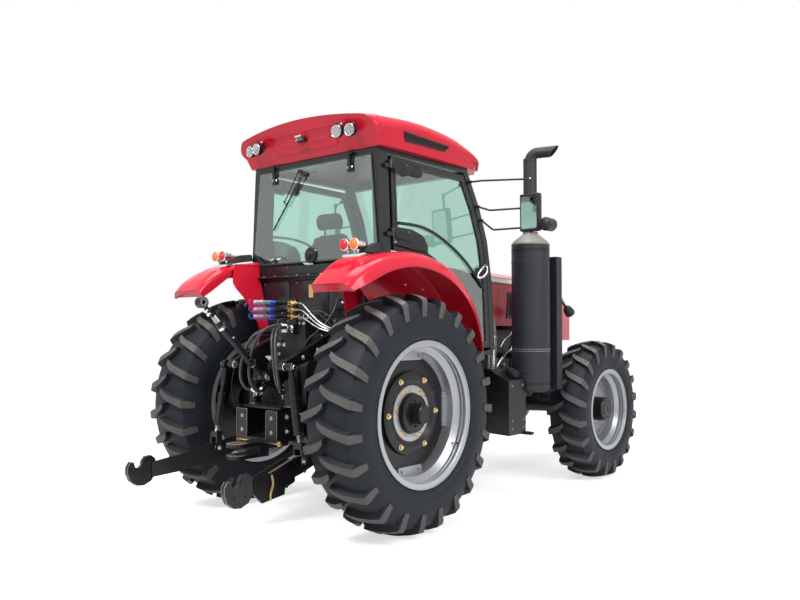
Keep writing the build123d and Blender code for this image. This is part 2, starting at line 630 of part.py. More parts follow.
# roof sections from the rear to the visor: back, half width low, half width at the crease,
# crease, shoulder and crown heights
ROOF_Z = CAB_TOP_Z + 30 + SEAT_GAP
FASCIA_BACK = 90.0
ROOF_SECTIONS = [(310, 560, 610, 2900, 2945, 2990),
                 (180, 660, 742, 2864, 2943, 3008),
                 (60, 722, 746, 2872, 2952, 3018),
                 (-300, 730, 753, 2905, 2972, 3030),
                 (-650, 724, 749, 2890, 2957, 3014),
                 (-900, 712, 739, 2862, 2920, 2976),
                 (-1140, 668, 714, 2816, 2847, 2896),
                 (-1270, 580, 620, 2778, 2798, 2832)]
ROOF_SHOULDER = 48.0
with BuildPart() as cab_roof:
    for back, low, crease, crease_z, shoulder_z, crown in ROOF_SECTIONS:
        with BuildSketch(Plane.XZ.offset(-at(back))):
            top_x = crease - ROOF_SHOULDER
            with BuildLine():
                Polyline((-top_x, shoulder_z), (-crease, crease_z), (-low, ROOF_Z), (low, ROOF_Z),
                         (crease, crease_z), (top_x, shoulder_z))
                ThreePointArc((top_x, shoulder_z), (0, crown), (-top_x, shoulder_z))
            make_face()
    loft(ruled=True)
    # rear fascia leans out towards its top, with a recessed panel
    fascia = Plane(origin=(0, at(FASCIA_BACK), ROOF_Z), x_dir=(1, 0, 0), z_dir=(0, 0.838, -0.545))
    split(bisect_by=fascia, keep=Keep.BOTTOM)
    with BuildSketch(fascia.offset(-12)) as recess:
        with Locations((0, 128 if fascia.y_dir.Z > 0 else -128)):
            RectangleRounded(640, 120, 20)
    extrude(recess.sketch, amount=20, mode=Mode.SUBTRACT)
    # air grilles let into both sides
    for side in (1, -1):
        with Locations((side * 742, at(-430), 2835)):
            Box(30, 480, 62, mode=Mode.SUBTRACT)
keep(cab_roof, "cab_roof")

# fender sections round the rear axle: angle, outer half width, crown radius, inner edge radius
FENDER_SECTIONS = [(52.5, 985, 1117, 1040), (57.0, 1000, 1136, 1035), (63.0, 1003, 1150, 1045),
                   (69.0, 1003, 1152, 1065), (75.0, 1001, 1136, 1090),
                   (84.0, FENDER_OUTER_X, FENDER_R, 1095), (112.0, 990, FENDER_R, 1095),
                   (128.0, 970, 1122, 1090), (143.0, 940, 1104, 1072), (157.0, 905, 1080, 1045)]


def fender_values(angle):
    """Section values at an angle, read off between the table's rows."""
    for low, high in zip(FENDER_SECTIONS, FENDER_SECTIONS[1:]):
        if angle <= high[0] + 1e-6:
            share = (angle - low[0]) / (high[0] - low[0])
            return [a + (b - a) * share for a, b in zip(low[1:], high[1:])]
    return list(FENDER_SECTIONS[-1][1:])


def fender_outline(angle):
    """Sheet's closed outline in the radial plane: (x, radius) points, outer skin then inner."""
    x, crown, inner = fender_values(angle)
    edge = FENDER_EDGE_R - max(angle - 140, 0) * 0.6
    low = FENDER_INNER_X
    t = FENDER_SHEET
    return [(low, inner), (low, crown - 20), (low + 20, crown - 2), (x - 110, crown), (x - 48, crown - 14),
            (x - 14, crown - 48), (x, edge),
            (x - t, edge), (x - 14 - t, crown - 51), (x - 51, crown - 14 - t), (x - 112, crown - t),
            (low + 22, crown - 2 - t), (low + t, crown - 22), (low + t, inner)]


def radial_plane(angle):
    """Sketch plane through the rear axle: local x along the axle, local y outward at an angle."""
    a = radians(angle)
    return Plane(origin=(0, REAR_AXLE_Y, REAR_AXLE_Z), x_dir=(1, 0, 0), z_dir=(0, -sin(a), cos(a)))


def arc_point(radius, angle):
    """Side view point at a radius and an angle in degrees about the rear axle."""
    return (at(radius * cos(radians(angle))), REAR_AXLE_Z + radius * sin(radians(angle)))


first, last = FENDER_SECTIONS[0][0], FENDER_SECTIONS[-1][0]
FENDER_ANGLES = [first + (last - first) * step / 22 for step in range(23)]


def fender_top(back):
    """Height of the fender's faceted crown at a distance behind the axle."""
    crown = [((p[0] - at(0)), p[1]) for p in (arc_point(fender_values(a)[1], a) for a in FENDER_ANGLES)]
    for (near, z), (far, far_z) in zip(crown, crown[1:]):
        if far <= back <= near:
            return z + (far_z - z) * (back - near) / (far - near)
    return FENDER_TOP_Z


with BuildPart() as fender_left:
    faces = []
    for angle in FENDER_ANGLES:
        with BuildSketch(radial_plane(angle)) as section:
            with BuildLine():
                Polyline(*fender_outline(angle), close=True)
            make_face()
        faces.append(section.sketch)
    loft(faces, ruled=True)
    # wall that closes the rear lip
    x, crown, inner = fender_values(first)
    with BuildSketch(radial_plane(first)) as wall:
        with BuildLine():
            Polyline((FENDER_INNER_X + 2, inner), (FENDER_INNER_X + 2, crown - 21),
                     (FENDER_INNER_X + 21, crown - 4), (x - 110, crown - 3), (x - 50, crown - 17),
                     (x - 17, crown - 50), (x - 4, inner), close=True)
        make_face()
    extrude(wall.sketch, amount=FENDER_SHEET)
    # inner wall against the cab
    top = [arc_point(fender_values(angle)[1] - 24, angle) for angle in range(70, 157, 6)]
    with BuildSketch(Plane.YZ.offset(FENDER_INNER_X)) as wall:
        with BuildLine():
            Polyline(*top, arc_point(fender_values(last)[1] - 24, last), (at(-960), 1240), (at(84), 1240),
                     (at(84), 1600), close=True)
        make_face()
    extrude(wall.sketch, amount=FENDER_SHEET)
    # wing of the inner wall behind the cab: it slants inward as it goes down
    slope = Vector(-112, 0, -400).normalized()
    wing = Plane(origin=(FENDER_INNER_X + 4, at(84), 1935), x_dir=(0, 1, 0),
                 z_dir=Vector(0, 1, 0).cross(slope))
    with BuildSketch(wing) as wall:
        with BuildLine():
            Polyline((12, 0), (240, 0), (286, 120), (292, 160), (214, 270), (90, 540), (12, 560),
                     close=True)
        make_face()
    extrude(wall.sketch, amount=FENDER_SHEET)
keep(fender_left, "fender_left")
keep(mirrored(fender_left), "fender_right")

# ------------------------------------------------------------------ inside the cab
with BuildPart() as seat_base:
    block((-150, 150), (-560, -260), (CAB_FLOOR_Z + SEAT_GAP, 1500))
    block((-215, 215), (-640, -190), (1500, 1540))
keep(seat_base, "seat_base")

with BuildPart() as seat:
    block((-250, 250), (-700, -190), (1540.3, 1650))
    plate((-240, 240), [(-300, 1640), (-195, 1640), (-80, 2180), (-160, 2200)])
keep(seat, "seat")

with BuildPart() as dashboard:
    block((-230, 230), (-1327.7, -1130), (CAB_FLOOR_Z + SEAT_GAP, 1780))
    rod((0, -1180, 1700), (0, -1010, 1975), 38)
keep(dashboard, "dashboard")

WHEEL_HUB = (0, -1003, 1986)
COLUMN = (0, 170, 275)
with BuildPart() as steering_wheel:
    axis = Vector(COLUMN).normalized()
    centre = Vector(WHEEL_HUB[0], at(WHEEL_HUB[1]), WHEEL_HUB[2])
    face = Plane(origin=centre, x_dir=(1, 0, 0), z_dir=axis)
    with BuildSketch(face.offset(-12.6)):
        Circle(34)
    extrude(amount=30)
    with BuildSketch(face.offset(8)):
        Circle(42)
        with PolarLocations(95, 3, start_angle=90):
            Rectangle(190, 30)
    extrude(amount=22)
    with BuildSketch(Plane(origin=centre + axis * 22, x_dir=(1, 0, 0), z_dir=face.y_dir * -1)):
        with Locations((195, 0)):
            Circle(15)
    revolve(axis=Axis(centre, axis))
keep(steering_wheel, "steering_wheel")

# ------------------------------------------------------------------ exhaust and tanks
CANISTER = (-800, -1826)
with BuildPart() as exhaust_canister:
    with BuildSketch(Plane(origin=(CANISTER[0], at(CANISTER[1]), 0), x_dir=(1, 0, 0), z_dir=(0, -1, 0))):
        with BuildLine():
            Polyline((0, 867), (150, 867), (168, 890), (168, 2160), (150, 2190), (62, 2262), (0, 2262),
                     close=True)
        make_face()
    revolve(axis=Axis((CANISTER[0], at(CANISTER[1]), 0), (0, 0, 1)))
    block((-968, CANISTER[0] + 30), (CANISTER[1] - 184, CANISTER[1] - 164), (880, 2060))
    block((-968, -948), (CANISTER[1] - 260, CANISTER[1] - 164), (880, 2060))
    block((-660, -400), (CANISTER[1] - 40, CANISTER[1] + 40), (1150, 1200))
    block((-420, -250.3), (CANISTER[1] - 40, CANISTER[1] + 40), (1150, 1200))
keep(exhaust_canister, "exhaust_canister")

with BuildPart() as exhaust_pipe:
    x, back = CANISTER
    rod((x, back, 2262.3), (x, back, 2930), 60)
    pipe([(x, back, 2900), (x, back, 2980), (x - 255, back - 60, 2980)], 72, 48)
    # slanted outlet
    outlet = Plane(origin=(x - 212, at(back - 50), 2980), z_dir=(-0.745, -0.177, -0.64))
    with BuildSketch(outlet) as cut:
        Rectangle(260, 260)
    extrude(cut.sketch, amount=150, mode=Mode.SUBTRACT)
    rod((x - 110, back - 26, 2980), (x - 300, back - 71, 2980), 43, mode=Mode.SUBTRACT)
keep(exhaust_pipe, "exhaust_pipe")

with BuildPart() as side_tank:
    with BuildSketch(Plane.XZ.offset(-at(-1650))) as section:
        with BuildLine():
            Polyline((-600, 530), (-600, 1080), (-655, 1072), (-850, 965), (-850, 520), close=True)
        make_face()
    extrude(section.sketch, amount=-270)
    # filler neck and cap on the slope
    slope = Vector(-107, 0, 195).normalized()
    neck = Vector(-770, at(-1540), 1009)
    with BuildSketch(Plane(origin=neck - slope * 5, z_dir=slope)) as cap:
        Circle(40)
    extrude(cap.sketch, amount=25)
    with BuildSketch(Plane(origin=neck + slope * 20, z_dir=slope)) as cap:
        Circle(56)
    extrude(cap.sketch, amount=38)
    block((-900, -600), (-1700, -1650), (505, 530))
    block((-605, -250.3), (-1600, -1450), (880, 940))
keep(side_tank, "side_tank")

with BuildPart() as fuel_tank:
    block((420, 800), (-1900, -1120), (560, 1080))
    block((250.3, 425), (-1600, -1450), (880, 940))
    for z in (420, 700, 980):
        block((790, 960), (-1320, -1000), (z, z + 25))
    for back in (-1320, -1000 - 14):
        block((930, 960), (back, back + 14), (420, 1005))
keep(fuel_tank, "fuel_tank")

with BuildPart() as mirrors:
    for side in (1, -1):
        # three bars from the front post to the mirror's upright
        for z, bend in ((2325, 2245), (2435, 2405), (2630, 2640)):
            post_x_here = side_x(z) - 2
            back = front_post_back(z)
            block((side * (post_x_here + SEAT_GAP + 0.6), side * (post_x_here + 26)), (back - 14, back + 14),
                  (z - 10, z + 10))
            pipe([(side * (post_x_here + 12), back - 6, z), (side * (post_x_here + 90), back - 60, bend),
                  (side * 1120, -1300, bend)], 40, 8)
        rod((side * 1120, -1300, 2200), (side * 1120, -1300, 2650), 10)
        with Locations((side * 1135, at(-1270), 2360)):
            Box(170, 50, 300)
        rod((side * 1290, -1330, 2252), (side * 1290, -1240, 2252), 52)
        rod((side * 1180, -1280, 2252), (side * 1290, -1285, 2252), 10)
keep(mirrors, "mirrors")

with BuildPart() as lamps:
    # tail and turn lamps on the fender's hump
    for side in (1, -1):
        for x in (672, 764):
            rod((side * x, 332, 1996), (side * x, 424, 1996), 40)
            rod((side * x, 300, 1996), (side * x, 336, 1996), 26)
            block((side * (x - 14), side * (x + 14)), (350, 380), (1950, 1975))
        foot = [(back, fender_top(back) - 0.2) for back in (335, 350, 364, 380, 395)]
        plate((side * 640, side * 800), [*foot, (395, 1958), (335, 1958)])
        # round work lamps on the roof's fascia
        for x, back in ((444, 256), (551, 232)):
            rod((side * x, back - 30, 2841), (side * x, back, 2841), 55)
            rod((side * x, FASCIA_BACK + 0.65 * (2841 - ROOF_Z) + 9, 2841), (side * x, back, 2841), 12)
keep(lamps, "lamps")

# ------------------------------------------------------------------ rear linkage
with BuildPart() as hitch_bracket:
    # two bent channel plates and the plate between them
    for side in (1, -1):
        plate((side * (HITCH_HALF - 12), side * HITCH_HALF),
              [(360.3, 650), (360.3, 860), (570, 868), (HITCH_BACK, 846), (HITCH_BACK, 640), (570, 622)])
        block((side * (HITCH_HALF - 118), side * HITCH_HALF), (HITCH_BACK - 12, HITCH_BACK), (640, 846))
        for z in (695, 795):
            with Locations((side * (HITCH_HALF - 62), at(HITCH_BACK - 6), z)):
                Cylinder(9, 40, rotation=(90, 0, 0), mode=Mode.SUBTRACT)
    for side in (1, -1):
        block((side * 80, side * (HITCH_HALF - 2)), (360.3, 380), (620, 868))
    block((2 - HITCH_HALF, HITCH_HALF - 2), (380, 570), (852, 866))
    # drawbar and its clevis with rounded ends
    block((-60, 60), (360.3, CLEVIS_BACK - 140), (570, 600))
    for low in (520, 600):
        with BuildSketch(Plane.XY.offset(low)) as lug:
            with Locations((0, at(CLEVIS_BACK - 100))):
                Rectangle(150, 200)
            with Locations((0, at(CLEVIS_BACK))):
                Circle(75)
        extrude(lug.sketch, amount=26)
    block((-75, 75), (CLEVIS_BACK - 220, CLEVIS_BACK - 140), (520, 626))
    block((2 - HITCH_HALF, HITCH_HALF - 2), (HITCH_BACK - 60, HITCH_BACK), (626, 648))
    rod((0, CLEVIS_BACK, 500), (0, CLEVIS_BACK, 640), DRAWBAR_PIN_HOLE_R, mode=Mode.SUBTRACT)
    # top link tower
    for side in (1, -1):
        plate((side * 34, side * 50), [(360.3, 960), (360.3, 1140), (575, 1110), (600, 1080), (575, 1050)])
    rod((-50, *TOP_LINK_PIN), (50, *TOP_LINK_PIN), TOP_LINK_PIN_R)
keep(hitch_bracket, "hitch_bracket")


def eye(x, back, z, radius, width, bore):
    """Flat eye about an axle along X, with its bore."""
    rod((x - width / 2, back, z), (x + width / 2, back, z), radius)
    rod((x - width, back, z), (x + width, back, z), bore, mode=Mode.SUBTRACT)


with BuildPart() as top_link:
    dy, dz = TOP_LINK_EYE[0] - TOP_LINK_PIN[0], TOP_LINK_EYE[1] - TOP_LINK_PIN[1]
    length = sqrt(dy * dy + dz * dz)
    uy, uz = dy / length, dz / length
    def along(distance):
        return (0, TOP_LINK_PIN[0] + uy * distance, TOP_LINK_PIN[1] + uz * distance)
    rod(along(25), along(190), 16)
    rod(along(150), along(length - 190), 26)
    rod(along(length - 230), along(length - 25), 16)
    eye(0, *TOP_LINK_PIN, 30, 50, TOP_LINK_PIN_R + RUNNING_FIT)
    eye(0, *TOP_LINK_EYE, 38, 51, 12.85)
keep(top_link, "top_link")

with BuildPart() as lift_arms:
    rod((-330, *LIFT_PIVOT), (330, *LIFT_PIVOT), ROCKSHAFT_R)
    for side in (1, -1):
        by, bz = LIFT_END[0] - LIFT_PIVOT[0], LIFT_END[1] - LIFT_PIVOT[1]
        reach = sqrt(by * by + bz * bz)
        ny, nz = -bz / reach, by / reach
        outline = []
        for place, half in ((0, 62), (reach, 30)):
            outline.append((LIFT_PIVOT[0] + by * place / reach, LIFT_PIVOT[1] + bz * place / reach, half))
        (y0, z0, h0), (y1, z1, h1) = outline
        plate((side * 250, side * 300), [(y0 + ny * h0, z0 + nz * h0), (y1 + ny * h1, z1 + nz * h1),
                                         (y1 - ny * h1, z1 - nz * h1), (y0 - ny * h0, z0 - nz * h0)])
        rod((side * 250, *LIFT_PIVOT), (side * 300, *LIFT_PIVOT), 62)
        rod((side * 250, *LIFT_END), (side * 300, *LIFT_END), 30)
        rod((side * 290, *LIFT_END), (side * 395, *LIFT_END), 14)
keep(lift_arms, "lift_arms")

LINK_DROP = LINK_HOOK[1] - LINK_PIVOT[1]
ROD_PIN_BACK = 615.0
ROD_PIN_Z = LINK_PIVOT[1] + LINK_DROP * (ROD_PIN_BACK - LINK_PIVOT[0]) / (LINK_HOOK[0] - LINK_PIVOT[0])


def link_x(back):
    """Middle of the left lower link: it spreads from its front pin to its hook."""
    return LINK_FRONT_X + (LINK_HOOK_X - LINK_FRONT_X) * (back - LINK_PIVOT[0]) / (
        LINK_HOOK[0] - LINK_PIVOT[0])


with BuildPart() as lower_links:
    for side in (1, -1):
        for back, above, below in ((LINK_PIVOT[0] + 40, 36, 36), (ROD_PIN_BACK, 30, 95),
                                   (LINK_HOOK[0] - 320, 14, 103), (LINK_HOOK[0] - 110, 18, 86)):
            z = LINK_PIVOT[1] + (back - LINK_PIVOT[0]) * LINK_DROP / (LINK_HOOK[0] - LINK_PIVOT[0])
            with BuildSketch(Plane.XZ.offset(-at(back))):
                with Locations((side * link_x(back), z + (above - below) / 2)):
                    Rectangle(26, above + below)
        loft(ruled=True)
        eye(side * LINK_FRONT_X, *LINK_PIVOT, 46, 40, 18 + RUNNING_FIT)
        plate((side * LINK_HOOK_X - 16, side * LINK_HOOK_X + 16),
              [(1090, 400), (1092, 505), (1125, 532), (1168, 528), (1192, 500), (1196, 470), (1218, 452),
               (1248, 462), (1262, 498), (1286, 500), (1306, 470), (1308, 425), (1284, 372), (1236, 336),
               (1178, 330), (1124, 352)])
    # deep sway plate on the outside of the right link
    run = Vector(LINK_FRONT_X - LINK_HOOK_X, LINK_HOOK[0] - LINK_PIVOT[0], 0).normalized()
    across = Vector(run.Y, -run.X, 0)
    outer = Vector(-LINK_FRONT_X, at(0) + LINK_PIVOT[0], 0) - across * 27
    with BuildSketch(Plane(origin=outer, x_dir=run, z_dir=across)) as sway:
        with BuildLine():
            Polyline((570, 560), (700, 575), (960, 505), (975, 400), (890, 325), (680, 345),
                     (676, 385), (580, 410), close=True)
        make_face()
    extrude(sway.sketch, amount=16)
keep(lower_links, "lower_links")

with BuildPart() as link_pins:
    for side in (1, -1):
        rod((side * (LINK_FRONT_X - 29.7), *LINK_PIVOT), (side * (LINK_FRONT_X + 26), *LINK_PIVOT), 18)
        rod((side * (LINK_FRONT_X + 22), *LINK_PIVOT), (side * (LINK_FRONT_X + 30), *LINK_PIVOT), 28)
keep(link_pins, "link_pins")

with BuildPart() as lift_rods:
    for side in (1, -1):
        top = Vector(side * 360, LIFT_END[0], LIFT_END[1])
        foot = Vector(side * link_x(ROD_PIN_BACK), ROD_PIN_BACK, ROD_PIN_Z)
        neck = foot + Vector(0, 0, 95)

        def along(share):
            return tuple(top + (neck - top) * share)

        eye(side * 360, *LIFT_END, 32, 36, 14 + RUNNING_FIT)
        rod(along(0.05), along(1), 16)
        if side > 0:
            rod(along(0.12), along(0.30), 24)
            rod(along(0.42), along(0.84), 27)
        else:
            rod(along(0.14), along(0.40), 30)
            rod(along(0.40), along(0.86), 34)
        block((foot.X - 40, foot.X + 40), (foot.Y - 24, foot.Y + 24), (foot.Z + 70, foot.Z + 112))
        for leg in (-1, 1):
            block((foot.X + leg * 27, foot.X + leg * 40), (foot.Y - 24, foot.Y + 24),
                  (foot.Z - 34, foot.Z + 75))
keep(lift_rods, "lift_rods")

with BuildPart() as lift_cylinders:
    for side in (1, -1):
        rod((side * 196, 470, 866.3), (side * 196, 470, 1010), 40)
        rod((side * 196, 470, 1005), (side * 196, 468, 1050), 46)
        rod((side * 196, 468, 1045), (side * 196, 458, 1170), 18)
        rod((side * 170, 458, 1172), (side * 222, 458, 1172), 28)
        # hose ports on the side of the barrel
        for back in (452, 488):
            rod((side * 196, back, 930), (side * 150, back, 930), 15)
keep(lift_cylinders, "lift_cylinders")

COUPLER_ROWS = (1610, 1560, 1510)
with BuildPart() as remote_couplers:
    block((-90, -10), (300.3, 345), (1380, 1640))
    for z in COUPLER_ROWS:
        rod((-50, 300, z), (-50, 700, z), 17)
keep(remote_couplers, "remote_couplers")
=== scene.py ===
"""Farm tractor: finishes, tread, glass, lamps, hoses and trim over the CAD frame."""
from math import cos, pi, radians, sin, sqrt

import bmesh
import bpy
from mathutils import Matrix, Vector


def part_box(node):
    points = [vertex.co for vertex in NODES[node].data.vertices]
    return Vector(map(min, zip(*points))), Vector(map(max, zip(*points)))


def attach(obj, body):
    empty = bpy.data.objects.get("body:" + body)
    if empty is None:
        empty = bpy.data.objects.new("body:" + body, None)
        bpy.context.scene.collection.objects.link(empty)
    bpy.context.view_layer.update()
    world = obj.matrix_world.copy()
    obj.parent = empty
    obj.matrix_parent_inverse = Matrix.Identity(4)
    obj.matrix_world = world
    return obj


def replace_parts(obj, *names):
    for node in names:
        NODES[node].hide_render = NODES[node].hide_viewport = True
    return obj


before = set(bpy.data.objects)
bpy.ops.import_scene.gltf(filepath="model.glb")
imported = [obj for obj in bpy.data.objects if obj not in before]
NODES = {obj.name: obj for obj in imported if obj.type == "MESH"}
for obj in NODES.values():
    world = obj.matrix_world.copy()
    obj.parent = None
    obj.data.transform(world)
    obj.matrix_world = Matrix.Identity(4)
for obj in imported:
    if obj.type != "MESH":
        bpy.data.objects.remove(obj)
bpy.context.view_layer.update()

BOTH = LEFT, RIGHT = 1, -1
SIDES = (("left", LEFT), ("right", RIGHT))


def middle(node):
    """Centre of a CAD node's box."""
    low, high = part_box(node)
    return (Vector(low) + Vector(high)) / 2


REAR_Y, REAR_R = middle("tyre_rear_left").yz


def at(x, back, z):
    """Place given by its distance behind the rear axle."""
    return vec(x, REAR_Y + back, z)


def vec(*parts):
    return Vector(parts)


def circle(count, start=0.0):
    """Cosine and sine at equal steps round a circle."""
    angles = [start + 2 * pi * i / count for i in range(count)]
    return [(cos(angle), sin(angle)) for angle in angles]


UP, REARWARD, FORWARD = vec(0, 0, 1), vec(0, 1, 0), vec(0, -1, 0)


# ---------------- finishes
class Tree:
    """Node tree of a material or the world. An input is set to a value or linked to a socket."""

    def __init__(self, owner):
        owner.use_nodes = True
        self.tree = owner.node_tree

    def put(self, node, inputs):
        for name, value in inputs.items():
            if isinstance(value, bpy.types.NodeSocket):
                self.tree.links.new(value, node.inputs[name])
            else:
                node.inputs[name].default_value = value

    def add(self, kind, output, inputs={}, **settings):
        """Adds a node and returns one of its outputs."""
        node = self.tree.nodes.new("ShaderNode" + kind)
        for name, value in settings.items():
            setattr(node, name, value)
        self.put(node, inputs)
        return node.outputs[output]

    def shade(self, inputs):
        self.put(self.tree.nodes["Principled BSDF"], inputs)


DUST_TONE = (0.32, 0.29, 0.25, 1)
GRAIN_HEIGHT = 0.001


def finish(name, dark, light, rough, metal=0.0, coat=0.0, mottle=4.0, grain=300.0, relief=0.05, dust=0.0,
        shine=0.5):
    """Two tones mottled by noise, roughness from the same noise, a fine grain and a film of dust."""
    material = bpy.data.materials.new(name)
    tree = Tree(material)
    place = tree.add("TexCoord", "Object")

    def noise(scale, detail):
        return tree.add("TexNoise", "Fac", {"Scale": scale, "Detail": detail, "Vector": place})

    def spread(value, low, high, inputs):
        return tree.add("MapRange", "Result", {"From Min": low, "From Max": high, "Value": value, **inputs})

    def mix(a, b, share):
        return tree.add("Mix", "Result", {"A": a, "B": b, "Factor": share}, data_type="RGBA")

    cloud = noise(mottle, 5.0)
    colour = mix((*dark, 1), (*light, 1), cloud)
    if dust:
        up = tree.add("SeparateXYZ", "Z", {"Vector": tree.add("NewGeometry", "Normal")})
        amount = tree.add("Math", "Value", {0: up, 1: noise(38.0, 8.0)}, operation="MULTIPLY")
        colour = mix(colour, DUST_TONE, spread(amount, 0.15, 0.75, {"To Max": dust}))
    gloss = spread(cloud, 0.3, 0.7, {"To Min": rough[0], "To Max": rough[1]})
    tree.shade({"Metallic": metal, "Coat Weight": coat, "Coat Roughness": 0.05, "Specular IOR Level": shine,
        "Base Color": colour, "Roughness": gloss})
    if relief:
        height = {"Strength": relief, "Distance": GRAIN_HEIGHT, "Height": noise(grain, 3.0)}
        tree.shade({"Normal": tree.add("Bump", "Normal", height)})
    return material


RUBBER = finish("tyre_rubber", (0.008, 0.0098, 0.0135), (0.0165, 0.0195, 0.0255), (0.46, 0.62), relief=0.35,
    grain=520, mottle=7, dust=0.05, shine=0.14)
LUG = finish("tyre_lug_dusty", (0.034, 0.033, 0.033), (0.095, 0.089, 0.082), (0.55, 0.75), relief=0.5,
    grain=340, mottle=11, dust=0.35, shine=0.25)
HOSE = finish("hose_rubber", (0.01, 0.01, 0.012), (0.02, 0.02, 0.023), (0.38, 0.55), relief=0.3)
GUARD = finish("hose_guard", (0.16, 0.16, 0.17), (0.26, 0.26, 0.27), (0.35, 0.5), relief=0.1, mottle=60)
SILVER = finish("silver_paint", (0.27, 0.28, 0.3), (0.34, 0.35, 0.37), (0.26, 0.38), metal=0.45, coat=0.15,
    relief=0.06, mottle=6)
BLACK = finish("black_paint", (0.0045, 0.0045, 0.0055), (0.01, 0.01, 0.012), (0.26, 0.4), coat=0.06,
    relief=0.08, mottle=5, dust=0.02, shine=0.24)
CASTING = finish("black_casting", (0.006, 0.006, 0.007), (0.015, 0.015, 0.017), (0.3, 0.5), relief=0.55,
    grain=160, mottle=9, dust=0.05, shine=0.3)
MATT = finish("heat_black", (0.009, 0.011, 0.015), (0.016, 0.018, 0.023), (0.46, 0.6), relief=0.15, grain=420,
    mottle=7, dust=0.05, shine=0.3)
RED = finish("red_paint", (0.45, 0.006, 0.022), (0.53, 0.01, 0.03), (0.16, 0.24), coat=0.18, relief=0.015,
    grain=60, mottle=2, shine=0.24)
ROOF_RED = finish("roof_red", (0.42, 0.006, 0.022), (0.5, 0.01, 0.03), (0.26, 0.36), coat=0.08, relief=0.02,
    grain=80, mottle=2, shine=0.24)
PLASTIC = finish("black_plastic", (0.008, 0.008, 0.009), (0.015, 0.015, 0.017), (0.42, 0.58), relief=0.3,
    grain=700, mottle=6, shine=0.3)
SATIN = finish("cab_black", (0.0055, 0.0055, 0.007), (0.011, 0.011, 0.013), (0.24, 0.36), coat=0.12,
    relief=0.05, mottle=4, shine=0.34)
GOLD = finish("yellow_zinc", (0.55, 0.38, 0.16), (0.72, 0.54, 0.26), (0.28, 0.42), metal=1.0, relief=0.1,
    mottle=40)
STEEL = finish("bright_steel", (0.5, 0.5, 0.51), (0.66, 0.66, 0.67), (0.22, 0.36), metal=1.0, relief=0.1,
    mottle=30)
CHROME = finish("chrome", (0.72, 0.72, 0.73), (0.8, 0.8, 0.81), (0.05, 0.1), metal=1.0, relief=0)
STEEL_DARK = finish("worn_black_edge", (0.1, 0.1, 0.105), (0.2, 0.2, 0.205), (0.3, 0.42), metal=0.8,
    relief=0.2, mottle=50)
WORN = finish("worn_bronze", (0.1, 0.06, 0.04), (0.3, 0.24, 0.2), (0.35, 0.55), metal=0.55, relief=0.4,
    mottle=36)
PALE_METAL = finish("pale_metal", (0.13, 0.118, 0.106), (0.22, 0.204, 0.188), (0.42, 0.56), metal=0.25,
    relief=0.2, mottle=20)
CAP_BLUE = finish("blue_cap", (0.01, 0.055, 0.42), (0.02, 0.085, 0.55), (0.3, 0.42), coat=0.3, mottle=50)
CAP_PURPLE = finish("purple_cap", (0.13, 0.01, 0.24), (0.2, 0.02, 0.33), (0.3, 0.42), coat=0.3, mottle=50)
DUST_GREY = finish("dusty_sleeve", (0.2, 0.2, 0.22), (0.42, 0.42, 0.44), (0.4, 0.6), metal=0.4, relief=0.4,
    mottle=55)
WHITE_PAINT = finish("white_stripe", (0.84, 0.84, 0.84), (0.9, 0.9, 0.9), (0.22, 0.32), coat=0.5, mottle=5)
MESH_BLACK = finish("mesh_black", (0.003, 0.003, 0.004), (0.007, 0.007, 0.008), (0.5, 0.65), relief=0.3)
CLOTH = finish("seat_cloth", (0.02, 0.021, 0.024), (0.042, 0.043, 0.048), (0.8, 0.95), relief=0.9, grain=900,
    mottle=26)
BRASS = finish("brass", (0.62, 0.42, 0.16), (0.74, 0.54, 0.24), (0.26, 0.4), metal=1.0, mottle=40)


def clear(name, colour, rough, alpha, more={}):
    """Clear sheet or lens of one colour."""
    material = bpy.data.materials.new(name)
    Tree(material).shade({"Base Color": (*colour, 1), "Roughness": rough, "Alpha": alpha, "IOR": 1.5, **more})
    return material


GLASS = clear("cab_glass", (0.58, 0.8, 0.72), 0.0, 1.0, {"Transmission Weight": 1.0, "Coat Weight": 1.0,
    "Coat Roughness": 0.0, "Coat IOR": 1.65})
BOWL = finish("lamp_bowl", (0.1, 0.1, 0.11), (0.34, 0.34, 0.35), (0.1, 0.22), metal=1.0, relief=0, mottle=70)
MIRROR = finish("mirror_glass", (0.62, 0.66, 0.68), (0.66, 0.7, 0.72), (0.02, 0.05), metal=1.0, relief=0)
LENS = clear("clear_lens", (0.8, 0.82, 0.84), 0.03, 0.14)
AMBER = clear("amber_lens", (0.85, 0.17, 0.02), 0.12, 0.96)
RED_LENS = clear("red_lens", (0.55, 0.01, 0.01), 0.12, 0.96)

# finishes of the CAD nodes
for material, names in ((SILVER, "rim_rear_left rim_rear_right rim_front_left rim_front_right"),
        (BLACK, "hub_rear_left hub_rear_right hub_front_left hub_front_right tie_rod front_frame side_tank"),
        (BLACK, "hitch_bracket top_link lift_arms lower_links lift_rods lift_cylinders remote_couplers"),
        (CASTING, "knuckle_left knuckle_right front_axle front_weights transmission engine"),
        (SATIN, "cab_floor cab_frame door_left door_right window_hinges"),
        (PLASTIC, "grille dashboard steering_wheel mirrors fuel_tank seat_base seat"),
        (MATT, "exhaust_canister exhaust_pipe"), (RED, "hood fender_left fender_right"),
        (GLASS, "windscreen rear_window door_glass_left door_glass_right"), (STEEL, "link_pins"),
        (ROOF_RED, "cab_roof"), (LENS, "headlamps"), (CHROME, "lamps")):
    for name in names.split():
        NODES[name].data.materials.clear()
        NODES[name].data.materials.append(material)


# ---------------- mesh helpers
def square(axis):
    """Two unit directions square to an axis."""
    axis = Vector(axis).normalized()
    other = UP if abs(axis.z) < 0.9 else REARWARD
    across = axis.cross(other).normalized()
    return across, axis.cross(across).normalized()


def box_corners(a0, a1, b0, b1):
    return (a0, b0), (a1, b0), (a1, b1), (a0, b1)


